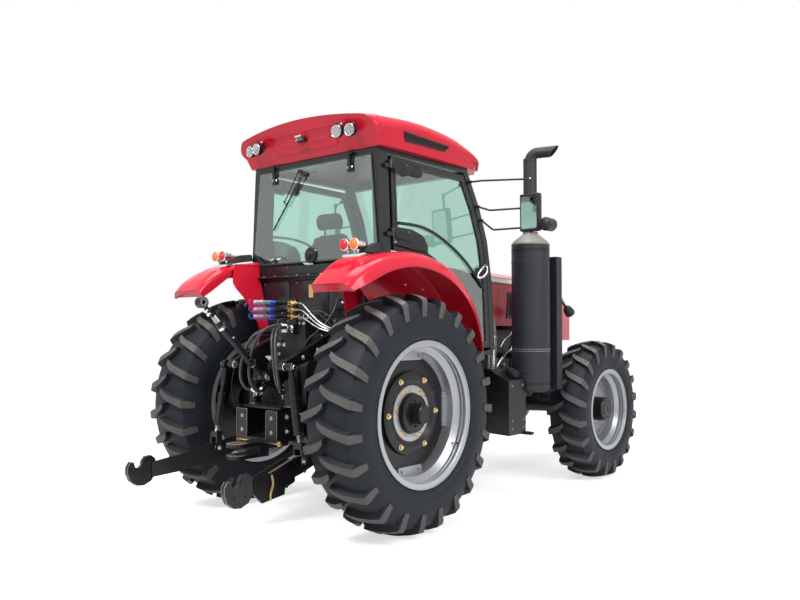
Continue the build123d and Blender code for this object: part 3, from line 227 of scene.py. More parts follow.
def round_corners(a0, a1, b0, b1, radius):
    """Rectangle with rounded corners, as pairs."""
    pairs = []
    for a, b, start in ((a1 - radius, b1 - radius, 0), (a0 + radius, b1 - radius, 90),
            (a0 + radius, b0 + radius, 180), (a1 - radius, b0 + radius, 270)):
        pairs += [(a + radius * cos(radians(start + 18 * k)), b + radius * sin(radians(start + 18 * k)))
            for k in range(6)]
    return pairs


def show(name, data):
    """New object in the scene."""
    thing = bpy.data.objects.new(name, data)
    bpy.context.scene.collection.objects.link(thing)
    return thing


def applied(piece):
    """Mesh of a piece with its modifiers or its curve turned into faces."""
    return bpy.data.meshes.new_from_object(piece.evaluated_get(bpy.context.evaluated_depsgraph_get()))


class Shape:
    """Gathers simple solids in one mesh, then becomes a piece that rides on a body."""

    def __init__(self):
        self.mesh = bmesh.new()
        self.materials = []

    def faces(self, points, faces, material, smooth=False):
        if material not in self.materials:
            self.materials.append(material)
        corners = [self.mesh.verts.new(p) for p in points]
        for face in faces:
            made = self.mesh.faces.new([corners[i] for i in face])
            made.material_index = self.materials.index(material)
            made.smooth = smooth
        return self

    def rings(self, rings, material, closed=True, caps=True, smooth=False):
        """Skin over rings of equal point counts."""
        count = len(rings[0])
        points = [p for ring in rings for p in ring]
        faces = []
        for i in range(0, len(points) - count, count):
            for j in range(count if closed else count - 1):
                k = (j + 1) % count
                faces.append((i + j, i + k, i + count + k, i + count + j))
        if caps:
            faces += [range(count)[::-1], range(len(points) - count, len(points))]
        return self.faces(points, faces, material, smooth)

    def block(self, x, y, z, material):
        corners = box_corners(*x, *y)
        return self.rings([[vec(a, b, c) for a, b in corners] for c in z], material)

    def lathe(self, origin, axis, profile, material, steps=40, smooth=True):
        """Round solid from (distance along the axis, radius) points."""
        axis = Vector(axis).normalized()
        u, v = square(axis)
        rings = [[Vector(origin) + axis * along + (u * c + v * s) * max(radius, 1e-5) for c,
            s in circle(steps)] for along, radius in profile]
        return self.rings(rings, material, smooth=smooth)

    def rod(self, start, end, radius, material, steps=24, tip=None):
        start, end = Vector(start), Vector(end)
        length = (end - start).length
        return self.lathe(start, end - start, [(0, radius), (length, radius if tip is None else tip)],
            material, steps)

    def hexagon(self, origin, axis, radius, height, material):
        """Hexagon head with a chamfered top and a washer under it."""
        self.lathe(origin, axis, [(-0.002, radius * 1.3), (height * 0.18, radius * 1.3)], material, 20)
        return self.lathe(origin, axis, [(height * 0.15, radius), (height * 0.85, radius),
            (height, radius * 0.82)], material, 6, smooth=False)

    def slab(self, outline, depth, material):
        """Flat outline of 3-D points pushed along a vector."""
        return self.rings([outline, [p + Vector(depth) for p in outline]], material)

    def layers(self, place, rows, material, **kind):
        """Skin over (outline, height) rows, with the points given by place(a, b, height)."""
        return self.rings([[place(a, b, height) for a, b in outline] for outline, height in rows], material,
            **kind)

    def done(self, name, body="chassis", bevel=0.0006, smooth=35):
        bmesh.ops.recalc_face_normals(self.mesh, faces=self.mesh.faces)
        data = bpy.data.meshes.new(name)
        self.mesh.to_mesh(data)
        self.mesh.free()
        piece = show(name, data)
        for material in self.materials:
            data.materials.append(material)
        if bevel:
            edge = piece.modifiers.new("edges", "BEVEL")
            edge.width = bevel
            edge.segments = 2
            edge.limit_method = "ANGLE"
            edge.angle_limit = radians(40)
        data.shade_smooth()
        data.set_sharp_from_angle(angle=radians(smooth))
        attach(piece, body)
        return piece


def tube(name, points, radius, material, body="chassis", steps=10):
    """Round pipe or hose on a smooth route."""
    data = bpy.data.curves.new(name, "CURVE")
    data.dimensions = "3D"
    data.bevel_depth = radius
    data.bevel_resolution = 4
    data.resolution_u = steps
    data.use_fill_caps = True
    line = data.splines.new("NURBS")
    line.points.add(len(points) - 1)
    for spot, point in zip(line.points, points):
        spot.co = (*point, 1)
    line.order_u = 3
    line.use_endpoint_u = True
    data.materials.append(material)
    piece = show(name, data)
    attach(piece, body)
    return piece


# ---------------- tyres
def wheel_frame(node, side):
    """Places points of a wheel: outward from its middle plane, out from its axle, and round it."""
    centre = middle(node)
    return lambda x, radius, angle: centre + vec(side * x, radius * cos(angle), radius * sin(angle))


def hoop(shape, place, section, material, steps=128, closed=True):
    """Ring about an axle from a section of (out, radius) points."""
    rings = [[place(x, r, 2 * pi * i / steps) for x, r in section] for i in range(steps)]
    shape.rings(rings + rings[:1], material, closed=closed, caps=False, smooth=True)


TYRE_STEPS = 160


def dusty(shape, corners, around):
    """Gives the top faces of the bar just made the dusty rubber."""
    if LUG not in shape.materials:
        shape.materials.append(LUG)
    shape.mesh.verts.index_update()
    shape.mesh.verts.ensure_lookup_table()
    shape.mesh.faces.ensure_lookup_table()
    first = len(shape.mesh.verts) - corners
    count = corners // around - 1
    for face in shape.mesh.faces[len(shape.mesh.faces) - count * around - 2:]:
        spots = sorted((v.index - first) % around for v in face.verts)
        if len(face.verts) == 4 and spots == [0, 0, 1, 1]:
            face.material_index = shape.materials.index(LUG)


def make_tyre(node, side, body, seat, rim, lugs, tall):
    """Ribbed farm tyre: smooth carcass with staggered bars that lead from the middle."""
    low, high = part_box(node)
    place = wheel_frame(node, side)
    outer, half = (high[2] - low[2]) / 2, (high[0] - low[0]) / 2
    base = outer - tall
    shape = Shape()
    # carcass, from one bead to the other
    wall = [(rim / 2 - 0.004, seat + 0.001), (rim / 2 + 0.002, seat + 0.03), (half * 0.93, seat + 0.04)]
    wall += [(half * wide, seat + (base - seat) * share) for wide, share in ((0.985, 0.26), (1, 0.42),
        (0.985, 0.6), (0.93, 0.78), (0.84, 0.905))]
    wall += [(half * 0.66, base - 0.014), (half * 0.34, base - 0.004), (0, base)]
    hoop(shape, place, wall + [(-x, r) for x, r in reversed(wall[:-1])], RUBBER, TYRE_STEPS, closed=False)
    # bead ring moulded beside the rim
    for hand in (1, -1):
        hoop(shape, place, [(hand * half * wide, seat + out) for wide, out in ((0.955, 0.058), (0.985, 0.064),
            (0.975, 0.074), (0.93, 0.07))], RUBBER, TYRE_STEPS)
    # bars: across the half tread, then down the shoulder
    drop, tread = 0.052 * outer, half * 0.985
    edge = outer - drop
    sections = []
    for share, lag, top, foot in ((-0.1, 0.0, 0.016, 0.026), (0.1, 0.03, 0.024, 0.036),
            (0.34, 0.052, 0.026, 0.04), (0.68, 0.074, 0.027, 0.042), (0.96, 0.094, 0.03, 0.046)):
        x, face = share * tread, outer - drop * share * share
        sections.append((x, face, x, face - tall * 1.15, lag, top, foot))
    sections += [(tread * 1.01, edge - 0.022, tread * 0.84, edge - 0.052, 0.097, 0.031, 0.048),
        (half, edge - 0.075, half * 0.86, edge - 0.085, 0.104, 0.03, 0.042),
        (half * 1.005, edge - 0.12, half * 0.9, edge - 0.12, 0.112, 0.027, 0.034)]
    for hand in (1, -1):
        for i in range(lugs):
            lead = 2 * pi / lugs * (i if hand > 0 else i + 0.5)
            rings = [[place(hand * x, r, lead + (wide - lag) / outer) for x, r,
                wide in ((x_top, r_top, top), (x_top, r_top, -top), (x_foot, r_foot, -foot),
                (x_foot, r_foot, foot))] for x_top, r_top, x_foot, r_foot, lag, top, foot in sections]
            shape.rings(rings, RUBBER)
            dusty(shape, len(rings) * 4, 4)
    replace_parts(shape.done(node.replace("tyre", "tread"), body, 0, 30), node)


for label, side in SIDES:
    make_tyre(f"tyre_rear_{label}", side, f"wheel_rear_{label}", 0.4826, 0.381, 23, 0.043)
    make_tyre(f"tyre_front_{label}", side, f"wheel_front_{label}", 0.3556, 0.305, 20, 0.036)


# ---------------- wheels
def nut(shape, place, way, size, height, material, core=BLACK):
    """Flanged nut with the end of its stud."""
    way = Vector(way).normalized()
    shape.lathe(place, way, [(-0.002, size * 1.35), (height * 0.16, size * 1.35),
        (height * 0.24, size * 1.1)], material, 24)
    shape.lathe(place, way, [(height * 0.2, size), (height * 0.9, size), (height, size * 0.86),
        (height, size * 0.55)], material, 6, smooth=False)
    shape.rod(place, place + way * height * 1.25, size * 0.45, core, 14)


def wheel_nuts(shape, wheel, side, out, radius, angles, size, height, material, core=BLACK):
    for angle in angles:
        nut(shape, wheel(out, radius, radians(angle)), (side, 0, 0), size, height, material, core)


def bead(x, r, half, rise):
    """Half round section of a rolled ridge on the inside of a rim."""
    near = [(half, r + 0.001), (half * 0.75, r - rise * 0.6), (half * 0.3, r - rise)]
    return [(x - out, level) for out, level in near] + [(x + out, level) for out, level in near[::-1]]


for label, side in SIDES:
    def valve(x, radius, angle, stem, end, cap):
        p = wheel(x, radius, radians(angle))
        shape.rod(p, p + vec(side * stem, 0, 0), 0.0045, BRASS, 16)
        shape.rod(p + vec(side * (stem - 0.005), 0, 0), p + vec(side * end, 0, 0), cap, HOSE, 16)
        return p

    wheel = wheel_frame(f"tyre_rear_{label}", side)
    shape = Shape()
    wheel_nuts(shape, wheel, side, 0.0735, 0.256, [60 * i for i in range(6)], 0.015, 0.016, GOLD, STEEL)
    hoop(shape, wheel, [(0.0595, 0.1425), (0.0645, 0.1425), (0.0655, 0.146), (0.0655, 0.19), (0.0645, 0.1935),
        (0.0595, 0.195)], SILVER)
    pairs = [a + d for a in range(8, 360, 60) for d in (-9, 9)]
    wheel_nuts(shape, wheel, side, 0.0655, 0.168, pairs, 0.0105, 0.013, BRASS, BLACK)
    # hub cap: outer rim, recessed bolts and the end plate
    hoop(shape, wheel, [(0.0915, 0.134), (0.0965, 0.133), (0.098, 0.126), (0.0915, 0.122)], BLACK)
    wheel_nuts(shape, wheel, side, 0.0995, 0.088, [18 + 36 * i for i in range(10)], 0.0075, 0.009, CASTING,
        CASTING)
    for out in (0.112, 0.132, 0.152):
        hoop(shape, wheel, [(out - 0.003, 0.069), (out - 0.002, 0.0715), (out + 0.002, 0.0715),
            (out + 0.003, 0.069)], BLACK, 64)
    hoop(shape, wheel, [(0.1855, 0.054), (0.1885, 0.053), (0.1885, 0.047), (0.1855, 0.046)], BLACK, 64)
    # dark split lines across the cast ring
    for angle in (150, 330):
        for a, b, out in ((0.206, 0.236, 0.067), (0.234, 0.264, 0.0745), (0.262, 0.29, 0.0705)):
            p, q = (wheel(out, r, radians(angle)) for r in (a, b))
            across = vec(0, -sin(radians(angle)), cos(radians(angle))) * 0.0055
            shape.rings([[p - across + lift, p + across + lift, q + across + lift, q - across + lift]
                for lift in (vec(side * -0.0072, 0, 0), vec(side * 0.0012, 0, 0))], HOSE)
    # bolts of the lugs welded in the rim
    pairs = [a + d for a in range(0, 360, 90) for d in (-13, 13)]
    wheel_nuts(shape, wheel, side, 0.052, 0.404, pairs, 0.011, 0.011, SILVER, SILVER)
    # rolled ridges of the rim and its bright lip
    for x, half, rise in ((0.19, 0.01, 0.0075), (0.156, 0.007, 0.0045)):
        hoop(shape, wheel, bead(x, 0.4735, half, rise), SILVER, 160)
    hoop(shape, wheel, [(0.199, 0.5), (0.2035, 0.501), (0.2045, 0.505), (0.2035, 0.5085), (0.199, 0.5085)],
        SILVER, 160)
    valve(0.128, 0.455, 212, 0.045, 0.062, 0.0065)
    shape.done(f"rear_wheel_bolts_{label}", f"wheel_rear_{label}")

    wheel = wheel_frame(f"tyre_front_{label}", side)
    shape = Shape()
    wheel_nuts(shape, wheel, side, 0.01, 0.148, [12 + 45 * i for i in range(8)], 0.012, 0.013, BRASS, BLACK)
    wheel_nuts(shape, wheel, side, 0.1335, 0.084, [22.5 + 45 * i for i in range(8)], 0.006, 0.007, CASTING,
        CASTING)
    hoop(shape, wheel, [(0.133, 0.062), (0.1375, 0.06), (0.1375, 0.028), (0.133, 0.026)], CASTING, 64)
    for x, half, rise in ((0.15, 0.009, 0.0065), (0.122, 0.006, 0.004)):
        hoop(shape, wheel, bead(x, 0.3465, half, rise), SILVER)
    hoop(shape, wheel, [(0.1605, 0.373), (0.165, 0.374), (0.166, 0.378), (0.165, 0.3812), (0.1605, 0.3812)],
        SILVER)
    hoop(shape, wheel, [(-0.01, 0.262), (0.006, 0.262), (0.006, 0.27), (-0.01, 0.272)], SILVER)
    p = valve(0.085, 0.318, -48, 0.05, 0.066, 0.007)
    shape.rod(p + vec(side * 0.045, 0, 0), p + vec(side * 0.052, 0.02, 0.016), 0.004, HOSE, 12)
    shape.done(f"front_wheel_bolts_{label}", f"wheel_front_{label}")

# ---------------- couplers, pipes and hoses
shape = Shape()
shape.block((-0.09, -0.01), (REAR_Y + 0.3003, REAR_Y + 0.318), (1.38, 1.64), BLACK)
shape.block((-0.09, -0.01), (REAR_Y + 0.318, REAR_Y + 0.345), (1.38, 1.455), BLACK)
for z in (1.4, 1.62):
    for x in (-0.075, -0.025):
        shape.hexagon(at(x, 0.318 if z > 1.5 else 0.345, z), REARWARD, 0.0065, 0.006, STEEL)
for i, z in enumerate((1.61, 1.56, 1.51)):
    def on(back):
        return at(-0.05, back, z)

    shape.hexagon(on(0.318), REARWARD, 0.015, 0.06, BRASS)
    shape.lathe(on(0.376), REARWARD, [(0, 0.01), (0.004, 0.0165), (0.03, 0.017), (0.033, 0.014),
        (0.04, 0.014), (0.043, 0.0172), (0.086, 0.0172), (0.09, 0.015), (0.104, 0.015), (0.106, 0.012),
        (0.124, 0.012)], BLACK, 32)
    for k in range(5):
        shape.lathe(on(0.424 + k * 0.008), REARWARD, [(0, 0.017), (0.002, 0.018), (0.004, 0.017)], BLACK, 32)
    shape.lathe(on(0.497), REARWARD, [(0, 0.01), (0.002, 0.0165), (0.006, 0.0175), (0.022, 0.0175),
        (0.026, 0.0185), (0.04, 0.0185), (0.044, 0.016), (0.046, 0.01)], CAP_BLUE, 32)
    shape.lathe(on(0.541), REARWARD, [(0, 0.01), (0.003, 0.015), (0.06, 0.0158), (0.064, 0.0175),
        (0.078, 0.0175), (0.082, 0.0155), (0.128, 0.015), (0.138, 0.012), (0.144, 0.006)], DUST_GREY, 32)
    # pull ring on the end and the cap's tether
    u = vec(0.35, 0, 0.94).normalized()
    loop = [vec(0, 0.024 * c, 0) + u * 0.0195 * s for c, s in circle(28)]
    w = u.cross(REARWARD).normalized()
    rings = [[on(0.7) + p + (p.normalized() * c + w * s) * 0.0026 for c, s in circle(8)] for p in loop]
    shape.rings(rings + rings[:1], (CAP_PURPLE, CAP_BLUE, CAP_BLUE)[i], caps=False, smooth=True)
    tether = [on(0.52 + k * 0.02) + vec(-0.018 - 0.004 * sin(k * 0.8), 0, -0.02 - 0.008 * sin(k * 0.39))
        for k in range(10)]
    for p, q in zip(tether, tether[1:]):
        shape.rod(p, q, 0.0022, CAP_BLUE, 8)
piece = shape.done("coupler_rows")
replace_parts(piece, "remote_couplers")

for i, (z, drop) in enumerate(((1.61, 0.186), (1.56, 0.15), (1.51, 0.112))):
    tube(f"coupler_pipe_{i}", [at(-0.068, 0.335, z), at(-0.135, 0.336, z + 0.001),
        at(-0.18, 0.338, z - drop * 0.04), at(-0.232, 0.34, z - drop * 0.26), at(-0.3, 0.34, z - drop * 0.56),
        at(-0.37, 0.335, z - drop * 0.82), at(-0.44, 0.3, z - drop), at(-0.48, 0.22, z - drop * 1.18),
        at(-0.5, 0.13, z - drop * 1.3)], 0.0048, STEEL)
    shape = Shape()
    shape.hexagon(at(-0.058, 0.335, z), (-1, 0, 0), 0.011, 0.014, BRASS)
    shape.rod(at(-0.07, 0.335, z), at(-0.122, 0.335, z), 0.0096, BRASS, 20)
    shape.done(f"pipe_nut_{i}", bevel=0.0005)


HOSE_RADIUS = 0.0108
GUARD_PITCH = 0.0115


def ribbed_hose(name, points, radius):
    """Hose in a dotted spiral guard, with a crimped fitting and nut at each end."""
    hose = tube(name, points, radius, HOSE, steps=14)
    bare = hose.data.copy()
    bare.bevel_depth = 0
    probe = show(name + "_line", bare)
    mesh = applied(probe)
    line = [v.co.copy() for v in mesh.vertices]
    bpy.data.objects.remove(probe)
    bpy.data.curves.remove(bare)
    bpy.data.meshes.remove(mesh)
    run, spots = 0.0, []
    for a, b in zip(line, line[1:]):
        length = (b - a).length
        while length > 1e-9 and len(spots) * GUARD_PITCH < run + length:
            share = (len(spots) * GUARD_PITCH - run) / length
            spots.append((a + (b - a) * share, (b - a).normalized()))
        run += length
    shape = Shape()
    for spot, way in spots[5:-5]:
        u, v = square(way)
        for c, s in circle(3, 0.4):
            out = u * c + v * s
            shape.rings([[spot + out * radius * lift + way.cross(out) * radius * 0.3 * a
                + way * radius * 0.26 * b for a, b in box_corners(-w, w, -w, w)] for lift,
                w in ((0.9, 0.8), (1.06, 0.6))], GUARD)
    for spot, way in ((line[0], (line[1] - line[0]).normalized()), (line[-1],
            (line[-2] - line[-1]).normalized())):
        shape.hexagon(spot, way, radius * 1.35, radius * 1.3, STEEL)
        shape.lathe(spot + way * radius * 1.2, way, [(0, radius * 1.05), (radius * 0.4, radius * 1.35),
            (radius * 3.2, radius * 1.35), (radius * 3.6, radius * 1.05)], STEEL, 24)
    shape.done(name + "_guard", "chassis", bevel=0)


for name, route in (("hose_right_outer", [(-0.075, 0.35, 1.43), (-0.075, 0.42, 1.432), (-0.09, 0.5, 1.425),
        (-0.135, 0.56, 1.36), (-0.18, 0.59, 1.2), (-0.205, 0.59, 1.06), (-0.195, 0.56, 0.985),
        (-0.15, 0.5, 0.96), (-0.15, 0.488, 0.947)]), ("hose_right_inner",
        [(-0.03, 0.35, 1.43), (-0.03, 0.42, 1.434), (-0.045, 0.5, 1.42), (-0.085, 0.55, 1.33),
        (-0.125, 0.565, 1.18), (-0.14, 0.555, 1.05), (-0.135, 0.52, 0.985), (-0.13, 0.46, 0.965),
        (-0.15, 0.452, 0.947)]), ("hose_left_outer", [(-0.008, 0.335, 1.4), (0.03, 0.345, 1.405),
        (0.09, 0.4, 1.42), (0.16, 0.51, 1.39), (0.205, 0.57, 1.25), (0.225, 0.59, 1.08), (0.205, 0.56, 0.985),
        (0.16, 0.5, 0.96), (0.15, 0.488, 0.947)]), ("hose_left_inner", [(-0.008, 0.335, 1.44),
        (0.02, 0.345, 1.445), (0.065, 0.4, 1.45), (0.115, 0.5, 1.39), (0.15, 0.55, 1.23), (0.16, 0.56, 1.07),
        (0.145, 0.52, 0.985), (0.135, 0.46, 0.965), (0.15, 0.452, 0.947)])):
    ribbed_hose(name, [at(*point) for point in route], HOSE_RADIUS)
tube("cable_left", [at(0.02, 0.335, 1.345), at(0.08, 0.38, 1.38), at(0.17, 0.48, 1.37), at(0.33, 0.52, 1.25),
    at(0.42, 0.52, 1.0), at(0.41, 0.48, 0.8), at(0.33, 0.38, 0.72), at(0.25, 0.3, 0.7)], 0.0035, HOSE)

# ---------------- rear linkage trim
def wire(points, radius, material, steps):
    """Thin rods end to end on the current shape."""
    for a, b in zip(points, points[1:]):
        shape.rod(a, b, radius, material, steps)


shape = Shape()
for x in (-0.05, 0.05):
    for back, z in ((0.46, 1.075), (0.4, 1.01)):
        shape.hexagon(at(x, back, z), (x, 0, 0), 0.011, 0.008, STEEL)
    way = 1 if x > 0 else -1
    shape.lathe(at(x, 0.563, 1.08), (way, 0, 0), [(0, 0.02), (0.006, 0.02), (0.008, 0.017)], STEEL, 24)
    tip = at(x + way * 0.012, 0.563, 1.08)
    ring = [tip + vec(0, c, s) * 0.013 + vec(way * 0.004, 0, -0.014) for c, s in circle(20)]
    wire(ring + ring[:1], 0.0018, STEEL, 8)
# hitch bracket: yellow pin across it, side bolts, flange edges and hole rims
shape.rod(at(-0.236, 0.59, 0.622), at(0.236, 0.59, 0.622), 0.01, GOLD, 24)
for x in (-0.222, 0.222):
    way = 1 if x > 0 else -1
    nut(shape, at(x, 0.59, 0.622), (way, 0, 0), 0.016, 0.0144, GOLD, STEEL)
    for back in (0.42, 0.52):
        for z in (0.7, 0.8):
            nut(shape, at(x, back, z), (way, 0, 0), 0.013, 0.0117, STEEL, STEEL)
for side in BOTH:
    wire([at(side * x, 0.613, z) for x, z in ((0.104, 0.642), (0.104, 0.838), (0.112, 0.846), (0.214, 0.846),
        (0.221, 0.838), (0.221, 0.642))], 0.0026, STEEL_DARK, 10)
    for z in (0.695, 0.795):
        shape.lathe(at(side * 0.16, 0.6122, z), REARWARD, [(0, 0.0092), (0.0015, 0.0092), (0.0015, 0.0125),
            (0, 0.013)], STEEL, 24)
# worn faces and edges of the clevis plates
for z in (0.6262, 0.5462):
    shape.rings([[at(r * c, 0.78 + r * s, z + lift) for c, s in circle(48)] for r,
        lift in ((0.02, 0), (0.021, 0.0012), (0.07, 0.0012), (0.0735, 0))], WORN, caps=False)
for z in (0.5455, 0.6255):
    wire([at(0.0755 * c, 0.78 + 0.0755 * s, z) for c, s in circle(48)[:25]], 0.0016, WORN, 8)
# bolts of the rear housing and the rockshaft, collars and fittings of the lift cylinders
for k in range(7):
    z = 0.66 + 0.07 * k
    for x in (-0.14, 0.14):
        shape.hexagon(at(x, 0.3602, z), REARWARD, 0.009, 0.008, CASTING)
for x in (-0.09, -0.03, 0.03, 0.09):
    shape.hexagon(at(x, 0.3602, 1.1), REARWARD, 0.009, 0.008, CASTING)
for side in BOTH:
    for c, s in circle(8, 0.2):
        shape.hexagon(at(side * 0.236, 0.165 + 0.058 * c, 1.32 + 0.058 * s), (side, 0, 0), 0.006, 0.006,
            STEEL)
    shape.lathe(at(side * 0.196, 0.4695, 1.012), (0, -0.03, 1), [(0, 0.0415), (0.004, 0.048), (0.014, 0.048),
        (0.018, 0.0415)], BLACK, 32)
    for back in (0.452, 0.488):
        shape.hexagon(at(side * 0.162, back, 0.93), (-side, 0, 0), 0.0165, 0.012, STEEL)
        shape.rod(at(side * 0.15, back, 0.93), at(side * 0.15, back, 0.95), 0.0105, STEEL, 20)
    shape.lathe(at(side * 0.196, 0.47, 0.867), UP, [(0, 0.043), (0.006, 0.043), (0.008, 0.0405)], STEEL_DARK,
        32)
shape.done("hitch_trim")

# lift arms: bosses, pin ends, raised ribs and bolts
shape = Shape()
for side in BOTH:
    for x, way in ((0.3, 1), (0.25, -1)):
        shape.lathe(at(side * x, 0.608, 1.159), (side * way, 0, 0), [(0, 0.0285), (0.005, 0.027),
            (0.007, 0.02)], STEEL, 32)
    shape.lathe(at(side * 0.394, 0.608, 1.159), (side, 0, 0), [(0, 0.018), (0.006, 0.018), (0.008, 0.015)],
        CHROME, 24)
    # raised ribs on the arm's upper edge
    a, b = at(side * 0.275, 0.23, 1.352), at(side * 0.275, 0.585, 1.198)
    for x in (-0.018, 0.018):
        shape.rod(a + vec(x, 0, 0), b + vec(x, 0, 0), 0.0038, STEEL, 12)
    for share in (0.3, 0.62):
        spot = at(side * 0.3, 0.165, 1.32).lerp(at(side * 0.3, 0.608, 1.159), share)
        shape.hexagon(spot, (side, 0, 0), 0.012, 0.009, STEEL)
shape.done("lift_arm_trim", "lift_arms_body")

shape = Shape()
pin, tip = at(0, 0.563, 1.08), at(0, 1.085, 1.6)
way = (tip - pin).normalized()
length = (tip - pin).length
for start, count in ((0.112, 8), (length - 0.186, 12)):
    for k in range(count):
        shape.lathe(pin + way * (start + 0.0048 * k), way, [(0, 0.0158), (0.0018, 0.0175), (0.0036, 0.0158)],
            STEEL, 24)
for start in (0.134, length - 0.222):
    shape.hexagon(pin + way * start, way, 0.0265, 0.02, BLACK)
shape.lathe(pin + way * 0.16, way, [(0, 0.0262), (0.004, 0.0295), (0.018, 0.0295), (0.022, 0.0262)], BLACK,
    32)
shape.lathe(pin + way * (length - 0.25), way, [(0, 0.0262), (0.004, 0.03), (0.028, 0.03), (0.032, 0.0262)],
    STEEL, 32)
across = vec(1, 0, 0)
for side in BOTH:
    start = pin + way * 0.4
    shape.rod(start + across * side * 0.024, start + across * side * 0.046, 0.006, STEEL, 16)
    shape.lathe(tip + across * side * 0.0255, across * side, [(0, 0.034), (0.0025, 0.033), (0.0025, 0.015),
        (0, 0.0135)], STEEL_DARK, 32)
for share in (0.045, 0.11):
    spot = tip - way * (0.042 + share * 0.5)
    shape.lathe(spot, way.cross(across), [(0, 0.016), (0.02, 0.014), (0.028, 0.01)], CHROME, 20)
shape.rod(pin + way * 0.3 + across * 0.033, pin + way * 0.56 + across * 0.033, 0.0035, STEEL, 12)
shape.done("top_link_trim", "top_link_body")

shape = Shape()
for side in BOTH:
    hook_x = side * 0.536
    for face in (1, -1):
        out = vec(face, 0, 0)
        for back, z, size in ((1.15, 0.48, 0.013), (1.14, 0.395, 0.013), (1.225, 0.395, 0.011)):
            shape.hexagon(at(hook_x + face * 0.016, back, z), out, size * 0.85, 0.009, CASTING)
        # latch plate in the claw
        outline = [(1.128, 0.522), (1.165, 0.519), (1.186, 0.495), (1.19, 0.47), (1.16, 0.455), (1.128, 0.47)]
        shape.slab([at(hook_x + face * 0.0165, b, z) for b, z in outline], out * 0.004, BLACK)
    edge = [(1.262, 0.498), (1.286, 0.5), (1.306, 0.47), (1.308, 0.425), (1.284, 0.372), (1.236, 0.336),
        (1.178, 0.33)]
    for face in (1, -1):
        wire([at(hook_x + face * 0.0155, *point) for point in edge], 0.0024, STEEL_DARK, 8)
    # eye bosses
    shape.lathe(at(side * 0.421, 0.12, 0.62), (side, 0, 0), [(0, 0.036), (0.004, 0.036)], STEEL, 32)
spot = at(0.462, 0.615, 0.56)
for way in BOTH:
    nut(shape, spot + vec(way * 0.014, 0, -0.022), (way, 0, 0), 0.015, 0.014, GOLD, STEEL)
# worn top edge and bolts of the sway plate, and the safety chain
run = vec(-0.136, 1.114, 0).normalized()
outward = vec(-run.y, run.x, 0)
foot = at(-0.4, 0.12, 0) + outward * 0.027


def on_sway(along, z, out=0.0):
    """Point on the sway plate's outer face."""
    return foot + run * (along - 0.12) + outward * (0.016 + out) + UP * z


for along, z in ((0.62, 0.47), (0.8, 0.4)):
    shape.hexagon(on_sway(along, z), outward, 0.01, 0.008, CASTING)
for a, b in (((0.7, 0.575), (0.96, 0.505)), ((0.57, 0.56), (0.7, 0.575))):
    pa, pb = on_sway(a[0], a[1], -0.02), on_sway(b[0], b[1], -0.02)
    wide = outward * 0.019
    shape.slab([pa - wide, pa + wide, pb + wide, pb - wide], UP * 0.006, WORN)
for k in range(12):
    spot = on_sway(0.948 - 0.012 * sin(k * 0.5), 0.486 - 0.013 * k, 0.006)
    across = (run if k % 2 else outward) * 0.0062
    loop = [spot + UP * 0.0115 * c + across * s for c, s in circle(14)]
    wire(loop + loop[:1], 0.0017, GOLD, 6)
shape.done("lower_link_trim", "lower_links_body", bevel=0.0004)

shape = Shape()
for side in BOTH:
    top, low = at(side * 0.36, 0.608, 1.159), at(side * 0.4604, 0.615, 0.5436)
    neck = low + vec(0, 0, 0.095)
    way = (neck - top).normalized()
    reach = (neck - top).length
    body = 0.034 if side < 0 else 0.027
    for share, r in ((0.405, body + 0.003), (0.84, body + 0.003), (0.56, body + 0.002)):
        shape.lathe(top + way * reach * share, way, [(0, r - 0.004), (0.003, r), (0.012, r),
            (0.015, r - 0.004)], BLACK, 32)
    for k in range(9):
        shape.lathe(top + way * (reach * 0.875 + 0.0058 * k), way, [(0, 0.0158), (0.002, 0.0178),
            (0.004, 0.0158)], STEEL, 24)
    shape.lathe(top + vec(side * 0.018, 0, 0), (side, 0, 0), [(0, 0.026), (0.004, 0.0255), (0.006, 0.018)],
        CHROME, 28)
    shape.rod(top + way * reach * 0.6 + vec(side * (body - 0.002), 0, 0),
        top + way * reach * 0.6 + vec(side * (body + 0.014), 0, 0), 0.0055, BRASS, 14)
    for leg in (-1, 1):
        face = low + vec(leg * 0.04, 0, 0)
        nut(shape, face + vec(0, 0, -0.008), (leg, 0, 0), 0.0125, 0.012, STEEL, STEEL)
        if side < 0:
            a = low + vec(leg * 0.0408, -0.022, -0.03)
            shape.slab([a + vec(0, y, z) for y, z in ((0, 0), (0.044, 0), (0.04, 0.098), (0.004, 0.098))],
                (leg * 0.002, 0, 0), STEEL)
shape.done("lift_rod_trim", "lift_rods_body", bevel=0.0005)

# ---------------- fenders and roof
def row_at(rows, place):
    """Values at a place, on smooth curves through a table whose first column is the place."""
    i = max(j for j in range(len(rows) - 1) if rows[j][0] <= place + 1e-9 or j == 0)
    low, high = rows[i], rows[i + 1]
    before, after = rows[max(i - 1, 0)], rows[min(i + 2, len(rows) - 1)]
    span = high[0] - low[0]
    t = (place - low[0]) / span
    values = []
    for k in range(1, len(low)):
        slope_in = (high[k] - before[k]) / (high[0] - before[0]) * span
        slope_out = (after[k] - low[k]) / (after[0] - low[0]) * span
        values.append((2 * t ** 3 - 3 * t * t + 1) * low[k] + (t ** 3 - 2 * t * t + t) * slope_in
            + (3 * t * t - 2 * t ** 3) * high[k] + (t ** 3 - t * t) * slope_out)
    return values


def thick(line, depth):
    """Closed outline of a sheet: a line and its copy moved to its right side by a depth."""
    inner = []
    for (x, y), (ax, ay), (bx, by) in zip(line, line[:1] + line, line[1:] + line[-1:]):
        length = sqrt((bx - ax) ** 2 + (by - ay) ** 2)
        inner.append((x + (by - ay) / length * depth, y - (bx - ax) / length * depth))
    return line + inner[::-1]


def scaled(outline, wide, tall, middle_z):
    """Outline scaled about a height."""
    return [(a * wide, (z - middle_z) * tall + middle_z) for a, z in outline]


